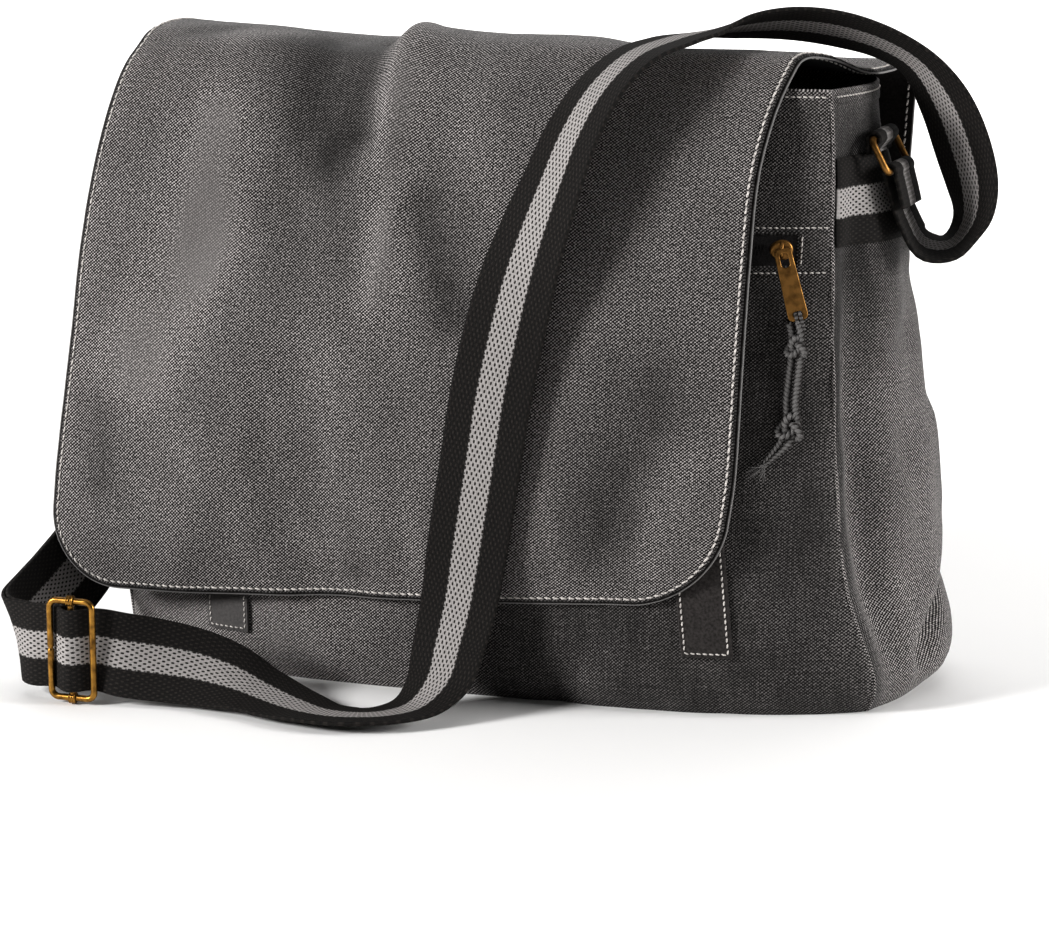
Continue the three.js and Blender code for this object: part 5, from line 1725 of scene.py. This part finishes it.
class BAG_OT_closures(bpy.types.Operator):
    """Build the felted closure strips with a row of stitches round each"""

    bl_idname = "bag.closures"
    bl_label = "Closure strips"

    def execute(self, context):
        sizes = sizes_in_mm(context)
        felt = material(context, "Looped felt")
        thread = material(context, "Cotton thread")
        fine = (sizes["fine_pitch"], sizes["fine_stitch"], sizes["fine_thread"])
        rows = []
        for name, (middle, bottom, lean) in CLOSURES.items():
            half = CLOSURE_WIDTH / 2
            z = np.linspace(bottom, CLOSURE_TOP, 60)[:, None]
            x = np.linspace(middle - half, middle + half, 20)[None] - lean * (z - bottom)
            bump = 0.15 * soft_noise(x, z, 3, 9.1)
            # The left strip gets painted light, the right none
            worn = np.full(bump.shape, LEFT_CLOSURE_PAINTED_LIGHT if middle < 0 else 0.0)
            face = front_point(x, z, CLOSURE_THICKNESS + bump)
            strip = sheet_part(face, front_point(x, z, SEAM), joined(x, z), None, worn)
            add_piece(name, [strip], felt, [name])
            edge = 2 * CLOSURE_STITCH
            corner = rounded_rectangle(CLOSURE_WIDTH - edge, CLOSURE_TOP - bottom - edge, 0.6, 3)
            loop = np.vstack([corner, corner[:1]]) + (middle, (bottom + CLOSURE_TOP) / 2)
            even = along_path(loop, loop, np.linspace(0, arc_length(loop)[-1], 400))
            even[:, 0] -= lean * (even[:, 1] - bottom)
            path = front_point(even[:, 0], even[:, 1], CLOSURE_THICKNESS + 0.1)
            rows.append(stitch_row(path, np.tile(TO_FRONT, (400, 1)), *fine))
        add_piece("closure_stitches", rows, thread, (), 80)
        return {"FINISHED"}


class BAG_OT_stage(bpy.types.Operator):
    """Set the floor and the lights"""

    bl_idname = "bag.stage"
    bl_label = "Stage"

    def execute(self, context):
        floor_mesh = bpy.data.meshes.new("floor")
        corners = [(x * FLOOR_HALF, y * FLOOR_HALF, 0) for x, y in ((-1, -1), (1, -1), (1, 1), (-1, 1))]
        floor_mesh.from_pydata(corners, [], [(0, 1, 2, 3)])
        paper, tree, surface = new_material("Pale paper floor")
        set_inputs(tree, surface, {"Base Color": context.scene.bag_colours.floor, "Roughness": 0.7})
        floor_mesh.materials.append(paper)
        floor = bpy.data.objects.new("floor", floor_mesh)
        context.scene.collection.objects.link(floor)
        for name, (place, aim, side, power) in LIGHTS.items():
            light = bpy.data.lights.new(name, "AREA")
            light.shape = "SQUARE"
            light.size = side
            light.energy = power
            lamp = bpy.data.objects.new(name, light)
            lamp.location = place
            lamp.rotation_euler = (Vector(aim) - Vector(place)).to_track_quat("-Z", "Y").to_euler()
            context.scene.collection.objects.link(lamp)
        world = bpy.data.worlds.new("studio")
        world.use_nodes = True
        sky = world.node_tree.nodes["Background"]
        set_inputs(world.node_tree, sky, {"Color": (1.0, 1.0, 1.0, 1.0), "Strength": SKY_STRENGTH})
        context.scene.world = world
        context.scene.view_settings.view_transform = "Standard"
        context.scene.view_settings.exposure = EXPOSURE
        context.scene.view_settings.gamma = GAMMA
        return {"FINISHED"}


STEPS = (
    BAG_OT_camera,
    BAG_OT_lanyard,
    BAG_OT_body,
    BAG_OT_flap,
    BAG_OT_webbing,
    BAG_OT_wires,
    BAG_OT_zip,
    BAG_OT_closures,
    BAG_OT_stage,
)


class BAG_PT_panel(bpy.types.Panel):
    """Sizes, colours and steps of the bag"""

    bl_idname = "BAG_PT_panel"
    bl_label = "Canvas shoulder bag"
    bl_space_type = "VIEW_3D"
    bl_region_type = "UI"
    bl_category = "Bag"

    def draw(self, context):
        for group in (context.scene.bag_sizes, context.scene.bag_colours):
            box = self.layout.box()
            for name in group.__annotations__:
                box.prop(group, name)
        for step in STEPS:
            self.layout.operator(step.bl_idname)


CLASSES = (BagSizes, BagColours) + STEPS + (BAG_PT_panel,)


def register():
    """Registers the classes and the scene's settings."""
    for made in CLASSES:
        bpy.utils.register_class(made)
    bpy.types.Scene.bag_sizes = PointerProperty(type=BagSizes)
    bpy.types.Scene.bag_colours = PointerProperty(type=BagColours)


def unregister():
    """Removes the scene's settings and the classes."""
    del bpy.types.Scene.bag_colours
    del bpy.types.Scene.bag_sizes
    for made in reversed(CLASSES):
        bpy.utils.unregister_class(made)


def main():
    """Builds the bag."""
    register()
    bpy.ops.bag.camera()
    bpy.ops.bag.lanyard()
    bpy.ops.bag.body()
    bpy.ops.bag.flap()
    bpy.ops.bag.webbing()
    bpy.ops.bag.wires()
    bpy.ops.bag.zip()
    bpy.ops.bag.closures()
    bpy.ops.bag.stage()


if __name__ == "__main__":
    main()
